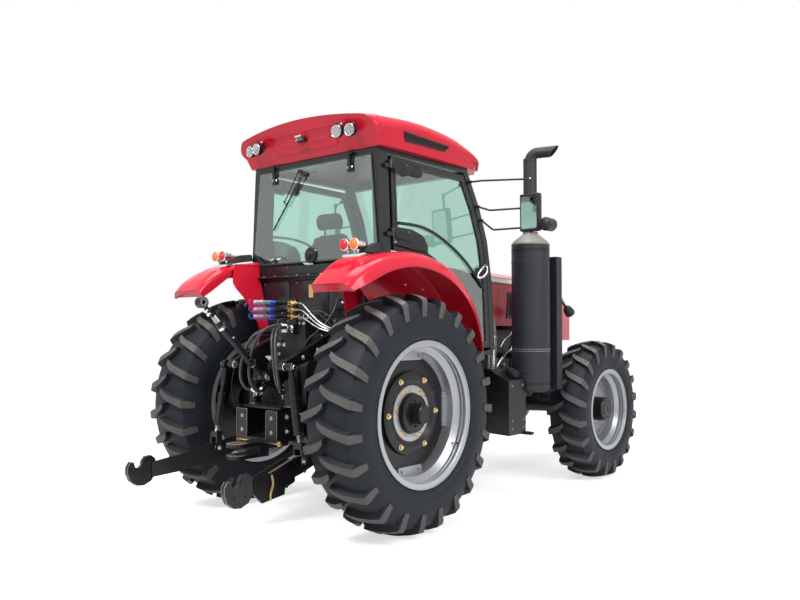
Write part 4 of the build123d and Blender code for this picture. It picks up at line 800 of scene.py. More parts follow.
# angle about the rear axle, outer half width, crown radius, inner edge radius, lamp hump
FENDER = [(52.5, 0.985, 1.112, 1.04, 0.0), (57.0, 1.0, 1.127, 1.035, 0.006),
    (63.0, 1.003, 1.134, 1.045, 0.016), (69.0, 1.003, 1.135, 1.065, 0.017), (75.0, 1.001, 1.132, 1.09, 0.004),
    (84.0, 1.0, 1.13, 1.095, 0.0), (112.0, 0.99, 1.13, 1.095, 0.0), (128.0, 0.97, 1.122, 1.09, 0.0),
    (143.0, 0.94, 1.104, 1.072, 0.0), (157.0, 0.905, 1.08, 1.045, 0.0)]
FENDER_X = 0.615
FENDER_START, FENDER_END = FENDER[0][0], FENDER[-1][0]


def fender_line(angle):
    """Outer skin in the radial plane, from the inner edge over the crown to the outer edge."""
    x, crown, inner, hump = row_at(FENDER, angle)
    edge = 1.02 - max(angle - 140, 0) * 0.0006 + 0.03 * max((66 - angle) / 13.5, 0) ** 2
    line = [(FENDER_X, inner), (FENDER_X, crown - 0.034), (FENDER_X + 0.003, crown - 0.018),
        (FENDER_X + 0.01, crown - 0.008), (FENDER_X + 0.022, crown - 0.003)]
    for i in range(9):
        across = FENDER_X + 0.045 + (x - 0.12 - FENDER_X - 0.045) * i / 8
        inside = min(max((0.875 - across) / 0.05, 0), 1)
        line.append((across, crown - 0.001 + hump * inside * inside * (3 - 2 * inside)))
    for i in range(1, 10):
        turn = pi / 2 * i / 10
        line.append((x - 0.12 + 0.106 * sin(turn), crown - 0.062 * (1 - cos(turn))))
    fold = crown - 0.095 if crown - 0.095 > edge + 0.004 else edge + 0.006
    line += [(x - 0.009, crown - 0.072), (x - 0.003, fold), (x, edge), (x - 0.002, edge - 0.004)]
    return line


def radial(side, x, radius, angle):
    """Point about the rear axle at an angle in degrees from the rear."""
    return at(side * x, radius * cos(radians(angle)), REAR_R + radius * sin(radians(angle)))


for label, side in SIDES:
    shape = Shape()
    angles = [FENDER_START + (FENDER_END - FENDER_START) * i / 66 for i in range(67)]
    rings = [[radial(side, x, r, angle) for x, r in thick(fender_line(angle), 0.008)] for angle in angles]
    shape.rings(rings, RED, smooth=True)
    # closed rear lip
    lip = [(x + (0.004 if x < 0.7 else -0.004), r - 0.004) for x, r in fender_line(FENDER_START)[1:-1]]
    lip += [(0.979, 1.046), (0.621, 1.046)]
    shape.rings([[radial(side, x, r, angle) for x, r in lip] for angle in (FENDER_START, 53.2)], RED)
    # inner wall beside the cab and the wing behind it
    wall = [radial(side, FENDER_X, row_at(FENDER, a)[1] - 0.024, a) for a in range(70, 157, 3)]
    wall += [radial(side, FENDER_X, 1.056, 157), at(side * FENDER_X, -0.96, 1.24),
        at(side * FENDER_X, 0.084, 1.24), at(side * FENDER_X, 0.084, 1.6)]
    shape.slab(wall, (side * 0.008, 0, 0), RED)
    fall = vec(-0.112 * side, 0, -0.4).normalized()
    top = at(side * (FENDER_X + 0.004), 0.084, 1.935)
    wing = [(0.012, 0), (0.24, 0), (0.262, 0.05), (0.286, 0.12), (0.292, 0.16), (0.27, 0.206), (0.214, 0.27),
        (0.15, 0.4), (0.09, 0.54), (0.012, 0.56)]
    shape.slab([top + vec(0, back, 0) + fall * down for back, down in wing], (side * 0.0077, 0, -0.0022), RED)
    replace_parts(shape.done(f"fender_skin_{label}", "chassis", 0.0016, 38), f"fender_{label}")
    # bolts on the inner wall and the wing
    shape = Shape()
    for angle, radius in ((78, 0.98), (92, 1.03), (108, 0.97), (120, 1.03), (134, 0.99), (146, 0.98)):
        spot = radial(side, FENDER_X + 0.008, radius, angle)
        shape.hexagon(spot, (side, 0, 0), 0.009, 0.006, STEEL)
    for back, down in ((0.2, 0.34), (0.225, 0.19), (0.245, 0.1)):
        shape.hexagon(top + vec(side * 0.008, back, 0) + fall * down, (side, 0, 0.28), 0.009, 0.006, STEEL)
    shape.done(f"fender_bolts_{label}")

# distance behind the axle, half width low, half width at the crease, crease, shoulder and crown heights
ROOF = [(-1.27, 0.58, 0.62, 2.778, 2.798, 2.832), (-1.14, 0.668, 0.714, 2.816, 2.847, 2.896),
    (-0.9, 0.712, 0.739, 2.862, 2.92, 2.976), (-0.65, 0.724, 0.749, 2.89, 2.957, 3.014),
    (-0.3, 0.73, 0.753, 2.905, 2.972, 3.03), (0.06, 0.722, 0.746, 2.872, 2.952, 3.018),
    (0.18, 0.66, 0.742, 2.864, 2.943, 3.008), (0.31, 0.56, 0.61, 2.9, 2.945, 2.99)]
ROOF_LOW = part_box("cab_roof")[0][2]


def roof_line(back):
    """Right half of the roof's outline, from the middle of the crown down to the lower edge."""
    low, crease, crease_z, shoulder_z, crown = row_at(ROOF, back)
    top_x, drop, reach = crease - 0.048, shoulder_z - crease_z, crease - low
    line = [(top_x * i / 12, crown - (crown - shoulder_z) * (i / 12) ** 2) for i in range(13)]
    return line + [(top_x + 0.016, shoulder_z - 0.008), (top_x + 0.031, shoulder_z - drop * 0.34),
        (top_x + 0.042, shoulder_z - drop * 0.64), (crease, crease_z), (crease - 0.001, crease_z - 0.012),
        (low + reach * 0.86, crease_z - 0.024), (low + reach * 0.45, (crease_z + ROOF_LOW) / 2 + 0.012),
        (low + reach * 0.12, ROOF_LOW + 0.02), (low, ROOF_LOW)]


shape = Shape()
rings = []
for i in range(61):
    back = -1.27 + 1.58 * i / 60
    half = roof_line(back)
    rings.append([at(x, back, z) for x, z in half] + [at(-x, back, z) for x, z in half[:0:-1]])
shape.rings(rings, ROOF_RED, smooth=True)
mesh = shape.mesh
fascia_point, fascia_way = at(0, 0.09, ROOF_LOW), vec(0, 0.838, -0.545).normalized()
cut = bmesh.ops.bisect_plane(mesh, geom=mesh.verts[:] + mesh.edges[:] + mesh.faces[:], dist=1e-6,
    plane_co=fascia_point, plane_no=fascia_way, clear_outer=True)
rim = [e for e in cut["geom_cut"] if isinstance(e, bmesh.types.BMEdge)]
bmesh.ops.contextual_create(mesh, geom=rim)


def on_fascia(x, z, out=0.0):
    """Point on the roof's rear face at a height, raised off it."""
    return at(x, 0.09 + (z - ROOF_LOW) * 0.545 / 0.838, z) + fascia_way * out


# pressed panel with a raised edge, inside a wider one
for outline, rise in ((((-0.275, 2.838), (0.275, 2.838), (0.3, 2.9), (-0.3, 2.9)), 0.0035),
        (((-0.33, 2.79), (0.33, 2.79), (0.395, 2.925), (-0.395, 2.925)), 0.005)):
    inner = scaled(outline, 0.965, 0.86, 2.86)
    shape.layers(on_fascia, ((outline, 0.0002), (scaled(outline, 0.992, 0.97, 2.86), rise),
        (scaled(inner, 1.008, 1.03, 2.86), rise), (inner, 0.0002)), ROOF_RED, caps=False)
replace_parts(shape.done("roof_skin", "chassis", 0.004, 32), "cab_roof")

# side air grilles
shape = Shape()
for side in BOTH:
    corners = [(-0.16, 2.8), (-0.135, 2.866), (-0.69, 2.85), (-0.64, 2.806)]


    def on_side(back, z, out):
        low, crease, crease_z, _, _ = row_at(ROOF, back)
        share = (z - ROOF_LOW) / (crease_z - ROOF_LOW)
        return at(side * (low + (crease - low) * share + 0.004 + out), back, z)

    frame_in = [(back - 0.012, z) for back, z in scaled(corners, 0.97, 0.72, 2.83)]
    shape.layers(on_side, ((corners, -0.006), (corners, 0.006), (frame_in, 0.006), (frame_in, -0.004)),
        PLASTIC)
    for i in range(34):
        back = -0.165 - 0.0145 * i
        shape.rod(on_side(back, 2.806, 0.001), on_side(back - 0.012, 2.856, 0.001), 0.0022, PLASTIC, 6)
    for i in range(1, 4):
        z = 2.802 + 0.0145 * i
        shape.rod(on_side(-0.16, z, 0.002), on_side(-0.655, z, 0.002), 0.0018, PLASTIC, 6)
shape.done("roof_grilles", bevel=0.0008)

# ---------------- lamps
def work_lamp(shape, centre, way):
    """Round work lamp: black shell, bowl reflector, ribbed lens and a bright rim."""
    centre, way = Vector(centre), Vector(way).normalized()
    shape.lathe(centre, way, [(-0.052, 0.0), (-0.052, 0.018), (-0.044, 0.03), (-0.026, 0.042),
        (-0.004, 0.0475), (0.002, 0.048), (0.002, 0.043)], PLASTIC)
    shape.lathe(centre, way, [(0.0, 0.042), (-0.012, 0.038), (-0.024, 0.028), (-0.03, 0.014), (-0.031, 0.0)],
        BOWL)
    shape.lathe(centre, way, [(-0.03, 0.008), (-0.012, 0.009), (-0.006, 0.006), (-0.005, 0.0)], CHROME, 16)
    u, v = square(way)
    for c, s in circle(12):
        out = u * c + v * s
        shape.rod(centre - way * 0.02 + out * 0.03, centre - way * 0.004 + out * 0.041, 0.0016, CHROME, 6)
    shape.lathe(centre, way, [(-0.004, 0.049), (0.006, 0.05), (0.01, 0.048), (0.01, 0.043), (0.004, 0.041)],
        BLACK, 48)
    shape.lathe(centre, way, [(0.0095, 0.0445), (0.0112, 0.044), (0.0112, 0.0425), (0.0095, 0.042)], CHROME,
        48)
    shape.lathe(centre, way, [(0.003, 0.0415), (0.0065, 0.034), (0.0055, 0.029), (0.008, 0.023),
        (0.007, 0.017), (0.0095, 0.01), (0.009, 0.0)], LENS, 48)


def signal_lamp(shape, centre, lens):
    """Bullet lamp that faces the rear, with a domed and ringed lens."""
    shape.lathe(centre, REARWARD, [(-0.124, 0.0), (-0.122, 0.01), (-0.112, 0.018), (-0.092, 0.0245),
        (-0.085, 0.027), (-0.08, 0.0262), (-0.06, 0.032), (-0.03, 0.0378), (-0.01, 0.0396), (-0.004, 0.0415),
        (0.002, 0.0415), (0.004, 0.0385)], CHROME, 48)
    shape.lathe(centre, REARWARD, [(0.0, 0.038), (0.006, 0.0372), (0.0065, 0.033), (0.0095, 0.0318),
        (0.0098, 0.027), (0.0125, 0.0255), (0.0128, 0.0205), (0.015, 0.019), (0.0152, 0.013), (0.0168, 0.011),
        (0.017, 0.0)], lens, 48)


shape = Shape()
for side in BOTH:
    for x, lens in ((0.672, RED_LENS), (0.764, AMBER)):
        signal_lamp(shape, at(side * x, 0.412, 1.996), lens)
        shape.rod(at(side * x, 0.372, 1.962), at(side * x, 0.372, 1.94), 0.007, STEEL, 16)
        shape.hexagon(at(side * x, 0.372, 1.958), (0, 0, -1), 0.011, 0.008, STEEL)
    # bent foot on the hump and the tapered arm that comes from the cab's corner
    shape.rings([[at(side * x, back, z) for x, z in box_corners(0.64, 0.8, low, high)] for back, low,
        high in ((0.395, 1.9135, 1.93), (0.364, 1.9225, 1.937), (0.335, 1.928, 1.942))], CHROME)
    arm = [(0.345, 0.735, 0.815, 1.944, 1.958), (0.27, 0.722, 0.812, 1.944, 1.992),
        (0.18, 0.706, 0.796, 1.962, 2.022), (0.105, 0.692, 0.762, 1.972, 2.03),
        (0.092, 0.688, 0.742, 1.976, 2.026)]
    shape.rings([[at(side * a, back, low), at(side * b, back, low), at(side * (b - 0.012), back, high),
        at(side * (a + 0.012), back, high)] for back, a, b, low, high in arm], PLASTIC, smooth=True)
    for x, back in ((0.444, 0.256), (0.551, 0.232)):
        way = vec(side * 0.1, 1.0, -0.06)
        centre = at(side * x, back, 2.841)
        work_lamp(shape, centre, way)
        # swivel and stalk
        shape.rod(centre + vec(0, -0.04, 0.03), centre + vec(0, -0.05, 0.062), 0.01, PLASTIC, 16)
        shape.rod(centre + vec(0, -0.115, 0.03), centre + vec(0, -0.04, 0.03), 0.012, PLASTIC, 16)
        shape.hexagon(centre + vec(0, -0.046, 0.06), UP, 0.01, 0.009, CHROME)
# small number plate lamp in the middle of the roof's rear face
centre = on_fascia(0, 2.868, 0.006)
for low, high, z0, z1, ends, material in ((0.042, 0.036, -0.02, 0.02, ((-0.012, 1), (0.02, 1)), PLASTIC),
        (0.034, 0.028, -0.016, 0.01, ((0.02, 1), (0.042, 1)), LENS), (0.04, 0.036, 0.01, 0.022,
        ((-0.01, 1), (0.052, 0.82)), CHROME)):
    shape.rings([[centre + vec(x * w, y, z) for x, z in ((-low, z0), (low, z0), (high, z1), (-high, z1))]
        for y, w in ends], material)
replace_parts(shape.done("lamp_set", "chassis", 0.0007, 34), "lamps")

# ---------------- exhaust
shape = Shape()
can = at(-0.8, -1.826, 0)
# pale cone over the canister, its neck band and clamp screw
shape.lathe(can, UP, [(2.158, 0.1685), (2.162, 0.17), (2.168, 0.169), (2.19, 0.1515), (2.262, 0.0635),
    (2.272, 0.0632)], PALE_METAL, 64)
shape.lathe(can, UP, [(2.263, 0.0602), (2.264, 0.067), (2.292, 0.067), (2.294, 0.0602)], PALE_METAL, 48)
shape.rod(can + vec(-0.066, -0.014, 2.278), can + vec(-0.066, 0.046, 2.278), 0.006, STEEL, 14)
shape.hexagon(can + vec(-0.066, 0.046, 2.278), REARWARD, 0.009, 0.008, STEEL)
# rolled seams and clamp bands
for z in (2.1, 2.112, 0.93, 0.942):
    shape.lathe(can, UP, [(z, 0.168), (z + 0.002, 0.1705), (z + 0.006, 0.1705), (z + 0.008, 0.168)], BLACK,
        64)
for z in (1.03, 1.99):
    shape.lathe(can, UP, [(z, 0.168), (z + 0.001, 0.1695), (z + 0.024, 0.1695), (z + 0.025, 0.168)], MATT, 64)
# vertical sheet seam with rivets
for k in range(26):
    for turn in (-0.75, 1.9):
        out = vec(-cos(turn), sin(turn), 0)
        shape.lathe(can + out * 0.1675 + UP * (0.915 + 0.047 * k), out, [(0, 0.005), (0.0015, 0.0045),
            (0.0028, 0.002)], BLACK, 12)
# rows of round perforations in the jacket, as dark plugs with pressed rims
for z, start in ((1.222, 0), (1.24, pi / 60)):
    for c, s in circle(60, start):
        out = vec(-c, s, 0)
        shape.lathe(can + out * 0.1674 + UP * z, out, [(0, 0.0042), (0.001, 0.0038), (0.0012, 0.0022)],
            DUST_GREY, 10)
# edge strips and rivets of the flat shield beside it
for x in (-0.166, 0.022):
    shape.rings([[can + vec(x + w, y, z) for w, y in ((0.004, -0.1625), (-0.004, -0.1625), (-0.003, -0.16),
        (0.003, -0.16))] for z in (0.885, 2.055)], BLACK)
for k in range(12):
    for x in (-0.155, 0.01):
        shape.lathe(can + vec(x, -0.184, 0.93 + 0.098 * k), FORWARD, [(0, 0.006), (0.002, 0.0055),
            (0.0035, 0.0025)], STEEL_DARK, 12)
shape.done("canister_trim", bevel=0.0005)

shape = Shape()
for z in (2.33, 2.352, 2.905):
    shape.lathe(can, UP, [(z, 0.06), (z + 0.002, 0.0622), (z + 0.006, 0.0622), (z + 0.008, 0.06)], BLACK, 48)
for z, size in ((2.6, 0.01), (2.37, 0.008)):
    shape.hexagon(can + vec(-0.03, 0.0515, z), (-0.5, 0.86, 0), size, size, STEEL)
shape.done("pipe_trim")

# bright service pipes under the hood, with a yellow-capped fitting on each
for i, (low, high) in enumerate((((-1.59, 1.085), (-1.83, 1.235)), ((-1.645, 1.255), (-1.83, 1.372)))):
    tube(f"service_pipe_{i}", [at(-0.6, low[0], low[1]), at(-0.6, low[0] - 0.06, low[1] + 0.062),
        at(-0.6, (low[0] + high[0]) / 2 - 0.01, (low[1] + high[1]) / 2 + 0.022), at(-0.6, high[0], high[1]),
        at(-0.56, high[0] - 0.05, high[1] + 0.02)], (0.0085, 0.005)[i], (CHROME, STEEL)[i])
shape = Shape()
for z in (1.098, 1.036):
    shape.lathe(at(-0.6, -1.697, z), (-1, 0.2, 0), [(0.0, 0.014), (0.012, 0.014), (0.016, 0.01),
        (0.016, 0.0)], GOLD, 20)
    shape.hexagon(at(-0.6, -1.697, z), (1, -0.2, 0), 0.012, 0.014, BRASS)
shape.rod(at(-0.59, -1.697, 1.02), at(-0.59, -1.697, 1.24), 0.01, PLASTIC, 16)
shape.done("service_fittings", bevel=0.0005)

# small lamp on a bent arm ahead of the shield
tube("nose_lamp_arm", [at(-0.8, -2.008, 1.6), at(-0.8, -2.06, 1.64), at(-0.8, -2.18, 1.7),
    at(-0.8, -2.33, 1.7), at(-0.8, -2.45, 1.64), at(-0.8, -2.505, 1.6)], 0.011, BLACK)
shape = Shape()
head = at(-0.8, -2.52, 1.588)
down = vec(0.0, -0.8, -0.6).normalized()
shape.lathe(head, down, [(-0.06, 0.0), (-0.056, 0.022), (-0.03, 0.038), (0.01, 0.046), (0.04, 0.048),
    (0.044, 0.044)], PLASTIC, 40)
shape.lathe(head, down, [(0.04, 0.044), (0.02, 0.036), (0.004, 0.018), (0.002, 0.0)], BOWL, 40)
shape.lathe(head, down, [(0.04, 0.0445), (0.046, 0.03), (0.048, 0.0)], LENS, 40)
shape.hexagon(at(-0.8, -2.01, 1.6), FORWARD, 0.014, 0.01, STEEL_DARK)
shape.done("nose_lamp")

# ribbed steel bellows and a pale curved pipe inboard of the canister
shape = Shape()
bellow = at(-0.52, -1.64, 0)
profile = [(1.05, 0.03)]
for k in range(22):
    z = 1.056 + 0.0125 * k
    profile += [(z, 0.03), (z + 0.003, 0.0365), (z + 0.0065, 0.0365), (z + 0.0095, 0.03)]
profile += [(1.345, 0.03)]
shape.lathe(bellow, UP, profile, STEEL, 36)
for z in (1.046, 1.338):
    shape.lathe(bellow, UP, [(z, 0.031), (z + 0.001, 0.04), (z + 0.016, 0.04), (z + 0.017, 0.031)], STEEL, 36)
shape.rod(bellow + vec(0.036, -0.02, 1.346), bellow + vec(0.036, 0.03, 1.346), 0.005, STEEL, 12)
shape.done("bellows", bevel=0.0004)
tube("bellows_pipe", [bellow + vec(0, 0, 1.345), bellow + vec(0, 0, 1.42), bellow + vec(0.01, 0.01, 1.5),
    bellow + vec(0.06, 0.02, 1.55), bellow + vec(0.14, 0.02, 1.56)], 0.03, PALE_METAL)
tube("bellows_foot", [bellow + vec(0, 0, 1.05), bellow + vec(0, 0, 1.0), bellow + vec(0.02, 0, 0.95),
    bellow + vec(0.1, 0, 0.92), bellow + vec(0.2, 0, 0.915)], 0.029, STEEL_DARK)
tube("heat_pipe", [at(-0.56, -1.5, 1.02), at(-0.57, -1.5, 1.12), at(-0.565, -1.505, 1.22),
    at(-0.52, -1.52, 1.3), at(-0.44, -1.53, 1.33)], 0.014, PALE_METAL)

# ---------------- tanks
shape = Shape()
slope = vec(-107, 0, 195).normalized()
neck = at(-0.77, -1.54, 1.009)
shape.lathe(neck + slope * 0.058, slope, [(0, 0.05), (0.004, 0.049), (0.006, 0.03), (0.006, 0.0)], PLASTIC,
    40)
u, v = square(slope)
for c, s in circle(28):
    a = neck + slope * 0.022 + (u * c + v * s) * 0.0555
    shape.rod(a, a + slope * 0.034, 0.0034, PLASTIC, 8)
for z in (0.6, 0.96):
    shape.block((-0.8515, -0.5985), (REAR_Y - 1.652, REAR_Y - 1.3785), (z, z + 0.022), BLACK)
for back in (-1.6, -1.43):
    for z in (0.575, 0.64, 0.935):
        shape.hexagon(at(-0.8505, back, z), (-1, 0, 0), 0.01, 0.008, STEEL_DARK)
shape.done("side_tank_trim", bevel=0.0015)

shape = Shape()
for back in (-1.78, -1.24):
    shape.block((0.424, 0.8045), (REAR_Y + back - 0.022, REAR_Y + back + 0.022), (0.556, 1.0845), STEEL_DARK)
    for z in (0.62, 1.02):
        shape.hexagon(at(0.8045, back, z), (1, 0, 0), 0.01, 0.008, STEEL)
shape.lathe(at(0.64, -1.66, 1.08), UP, [(0, 0.046), (0.022, 0.046), (0.024, 0.056), (0.05, 0.056),
    (0.056, 0.05), (0.058, 0.02), (0.058, 0.0)], PLASTIC, 40)
for c, s in circle(20):
    a = at(0.64 + c * 0.0555, -1.66 + s * 0.0555, 1.106)
    shape.rod(a, a + UP * 0.022, 0.0034, PLASTIC, 8)
# treads of the step, each a ribbed grating
for z in (0.42, 0.7, 0.98):
    for k in range(7):
        x = 0.802 + 0.0245 * k
        shape.block((x, x + 0.006), (REAR_Y - 1.316, REAR_Y - 1.004), (z + 0.0245, z + 0.03), STEEL_DARK)
    for k in range(10):
        back = -1.312 + 0.034 * k
        shape.block((0.795, 0.957), (REAR_Y + back, REAR_Y + back + 0.004), (z + 0.0245, z + 0.0275),
            STEEL_DARK)
shape.rod(at(0.944, -1.327, 0.44), at(0.944, -1.327, 0.99), 0.008, STEEL_DARK, 14)
shape.done("fuel_tank_trim", bevel=0.0012)

# ---------------- mirrors
shape = Shape()
for side in BOTH:
    face = -1.2445
    corner = round_corners(1.058, 1.212, 2.218, 2.502, 0.02)

    def ring(share, back):
        return [at(side * (1.135 + (x - 1.135) * share), back, 2.36 + (z - 2.36) * share) for x, z in corner]

    shape.rings([ring(1.04, face), ring(1.05, face + 0.008), ring(0.98, face + 0.012),
        ring(0.93, face + 0.006)], PLASTIC, caps=False)
    shape.rings([ring(0.94, face + 0.002), ring(0.94, face + 0.005)], MIRROR)
    # domed back shell and the arms' clamps
    shape.rings([ring(1.08, -1.294), ring(1.05, -1.304), ring(0.9, -1.318), ring(0.55, -1.326),
        ring(0.15, -1.329)], PLASTIC, smooth=True)
    for z in (2.245, 2.405, 2.64):
        shape.rod(at(side * 1.12, -1.3, z - 0.018), at(side * 1.12, -1.3, z + 0.018), 0.0165, PLASTIC, 24)
        shape.hexagon(at(side * 1.12, -1.2845, z), REARWARD, 0.0075, 0.007, STEEL)
    # round lower mirror
    centre = at(side * 1.29, -1.24, 2.252)
    shape.lathe(centre, REARWARD, [(-0.092, 0.0), (-0.09, 0.018), (-0.078, 0.036), (-0.05, 0.05),
        (-0.01, 0.0545), (0.006, 0.0545), (0.012, 0.05), (0.02, 0.038), (0.026, 0.02), (0.028, 0.0)], PLASTIC,
        48)
shape.done("mirror_faces")

# ---------------- doors
CAB_TAN, CAB_SIN, CAB_COS = 0.045409, 0.045363, 0.998971


def cab_x(z):
    """Outer side of the cab at a height."""
    return 0.745 - (z - 1.235) * CAB_TAN


def on_cab(side, back, z, out=0.0):
    """Point on the cab's leaning side, raised off it."""
    return at(side * (cab_x(z) + out * CAB_COS), back, z + out * CAB_SIN)


def strip(points, side, inset, width, rise, material, base=-0.001):
    """Raised strip on the current shape, inside an outline on the cab's side."""
    def moved(amount):
        made = []
        for (b, z), (pb, pz), (nb, nz) in zip(points, points[-1:] + points, points[1:] + points[:1]):
            before, after = vec(b - pb, z - pz).normalized(), vec(nb - b, nz - z).normalized()
            way = vec(-before.y, before.x) + vec(-after.y, after.x)
            way *= amount * DOOR_TURN / max(way.length_squared / 2, 0.35)
            made.append((b + way.x, z + way.y))
        return made

    outer, inner = moved(inset), moved(inset + width)
    shape.layers(lambda b, z, out: on_cab(side, b, z, out), ((outer, base), (outer, rise), (inner, rise),
        (inner, base)), material, caps=False)


def sill(back):
    """Door's lower edge over the fender."""
    reach = 1.0 - 0.745 + 0.04
    swing = sqrt(max((-0.04 - back) ** 2 - reach ** 2, 0))
    return 0.835 + sqrt(max(1.13 ** 2 - (-0.04 - swing) ** 2, 0)) + 0.032


DOOR = ([(-1.045, 1.262), (-1.258, 1.262), (-1.258, 1.8), (-1.208, 2.15), (-1.112, 2.42), (-0.975, 2.672),
    (-0.06, 2.69)] + [(b, sill(b)) for b in (-0.06, -0.36, -0.52, -0.68, -0.82, -0.93, -0.985)] + [(-1.045,
    1.4)])
area = sum(a[0] * b[1] - b[0] * a[1] for a, b in zip(DOOR, DOOR[1:] + DOOR[:1]))
DOOR_TURN = 1 if area > 0 else -1
for label, side in SIDES:
    shape = Shape()
    # rubber seal round the pane and a pressed line round the frame
    strip(DOOR, side, 0.04, 0.014, 0.0035, HOSE, base=-0.004)
    strip(DOOR, side, 0.006, 0.004, 0.0016, SATIN)
    # ribs, bolts and end plates of the hinge covers
    for z in (2.12, 2.62):
        for k in range(8):
            rib = z + 0.02 - 0.01 * k
            shape.rod(on_cab(side, -0.225, rib, 0.0262), on_cab(side, -0.065, rib, 0.0262), 0.0022, PLASTIC,
                8)
        shape.hexagon(on_cab(side, -0.205, z + 0.01, 0.0262), (side, 0, 0.045), 0.0085, 0.007, STEEL_DARK)
    for low, outline in ((2.0, [(-0.048, 2.165), (-0.27, 2.16), (-0.395, 2.125), (-0.45, 2.06), (-0.452, 2.0),
            (-0.3, 2.004), (-0.048, 2.03)]), (2.5, [(-0.048, 2.664), (-0.25, 2.662), (-0.4, 2.64),
            (-0.425, 2.6), (-0.4, 2.572), (-0.048, 2.59)])):
        bc = sum(b for b, z in outline) / len(outline)
        zc = sum(z for b, z in outline) / len(outline)
        shape.rings([[on_cab(side, bc + (b - bc) * share, zc + (z - zc) * share, out) for b, z in outline]
            for share, out in ((1, -0.0078), (1, 0.012), (0.93, 0.019), (0.6, 0.021), (0.05, 0.0215))],
            PLASTIC)
        for k in range(3):
            z = zc - 0.026 + 0.026 * k
            shape.rod(on_cab(side, bc - 0.13, z, 0.019), on_cab(side, bc + 0.11, z, 0.019), 0.004, PLASTIC,
                10)
        shape.hexagon(on_cab(side, -0.066, low + 0.05 if low < 2.3 else 2.612, 0.015), (side, 0, 0.045),
            0.008, 0.007, STEEL)
    # loop handle with its escutcheon
    plate_in = [(-1.085, 1.84), (-1.085, 1.915), (-1.15, 1.93), (-1.235, 1.93), (-1.235, 1.88),
        (-1.16, 1.868), (-1.11, 1.836)]
    shape.slab([on_cab(side, b, z, -0.001) for b, z in plate_in], vec(side, 0, 0.045) * 0.009, PLASTIC)
    loop = []
    for c, s in circle(36):
        spot = vec(-1.165, 1.893) + vec(-0.83, 0.56) * 0.082 * c + vec(0.56, 0.83) * 0.033 * s
        loop.append(on_cab(side, *spot, 0.02 + 0.018 * s ** 2))
    rings = []
    for spot, before, after in zip(loop, loop[-1:] + loop, loop[1:] + loop[:1]):
        out = (spot - sum(loop, Vector()) / 36).normalized()
        across = (after - before).normalized().cross(out)
        rings.append([spot + out * 0.0105 * c + across * 0.0075 * s for c, s in circle(12)])
    shape.rings(rings + rings[:1], CHROME, caps=False, smooth=True)
    shape.lathe(on_cab(side, -1.176, 1.915, 0.008), (side, 0, 0), [(0, 0.011), (0.004, 0.011),
        (0.005, 0.006)], STEEL, 24)
    # fixings of the pane
    for b, z in ((-0.15, 2.6), (-0.15, 2.1), (-0.93, 2.59), (-1.19, 1.95)):
        shape.lathe(on_cab(side, b, z, -0.0085), (side, 0, 0), [(0, 0.016), (0.004, 0.016), (0.006, 0.01),
            (0.006, 0)], SATIN, 28)
    shape.done(f"door_trim_{label}", f"door_{label}_body")
    # curved grab rail outside the pane
    rail = ((-0.12, 2.195), (-0.291, 2.203), (-0.48, 2.182), (-0.656, 2.122), (-0.82, 2.045), (-0.962, 1.957),
        (-1.08, 1.862), (-1.19, 1.765))
    tube(f"door_rail_{label}", [on_cab(side, b, z, 0.004) for b, z in rail], 0.0115, PLASTIC,
        f"door_{label}_body")

# ---------------- rear window and cab's rear
shape = Shape()
pane = [(-0.575, 1.932), (0.575, 1.932), (0.69, 2.04), (0.626, 2.693), (-0.626, 2.693), (-0.69, 2.04)]
seal = scaled(pane, 0.985, 0.97, 2.31)
for (ax, az), (bx, bz), (cx, cz), (dx, dz) in zip(pane, pane[1:] + pane[:1], seal[1:] + seal[:1], seal):
    shape.rings([[at(ax, outer, az), at(bx, outer, bz), at(cx, inner, cz), at(dx, inner, dz)] for outer,
        inner in ((0.0848, 0.0848), (0.0882, 0.087))], HOSE)
# wiper: motor cover, arm and blade
shape.lathe(at(0.06, 0.0855, 2.62), REARWARD, [(0, 0.022), (0.014, 0.022), (0.02, 0.015), (0.02, 0)], PLASTIC,
    28)
shape.lathe(at(0.125, 0.0855, 2.65), REARWARD, [(0, 0.016), (0.012, 0.016), (0.016, 0.01), (0.016, 0)],
    PLASTIC, 28)
for start, end, radius in (((0.06, 0.1035, 2.62), (0.125, 0.1, 2.65), 0.006),
        ((0.06, 0.106, 2.62), (0.262, 0.105, 2.395), 0.0055), ((0.125, 0.103, 2.65), (0.29, 0.103, 2.42),
        0.0045), ((0.255, 0.104, 2.385), (0.298, 0.104, 2.43), 0.0055)):
    shape.rod(at(*start), at(*end), radius, PLASTIC, 14)
shape.rod(at(0.135, 0.0965, 2.56), at(0.425, 0.0965, 2.21), 0.0065, HOSE, 12)
for k in range(6):
    p = at(0.16 + 0.046 * k, 0.101, 2.53 - 0.0555 * k)
    shape.rod(p, p + vec(0.02, 0, -0.024), 0.005, PLASTIC, 10)
# latch knob
shape.lathe(at(0, 0.0955, 1.985), REARWARD, [(0, 0.058), (0.003, 0.056), (0.004, 0.03), (0.01, 0.024),
    (0.024, 0.024), (0.028, 0.02), (0.029, 0.0)], PLASTIC, 40)
shape.hexagon(at(0, 0.112, 1.985), REARWARD, 0.01, 0.01, STEEL)
for x in (0.44, 0.4, -0.44, -0.4):
    shape.hexagon(at(x, 0.0935, 2.612), REARWARD, 0.0075, 0.006, STEEL)
shape.done("rear_window_trim", "rear_window_body")

shape = Shape()
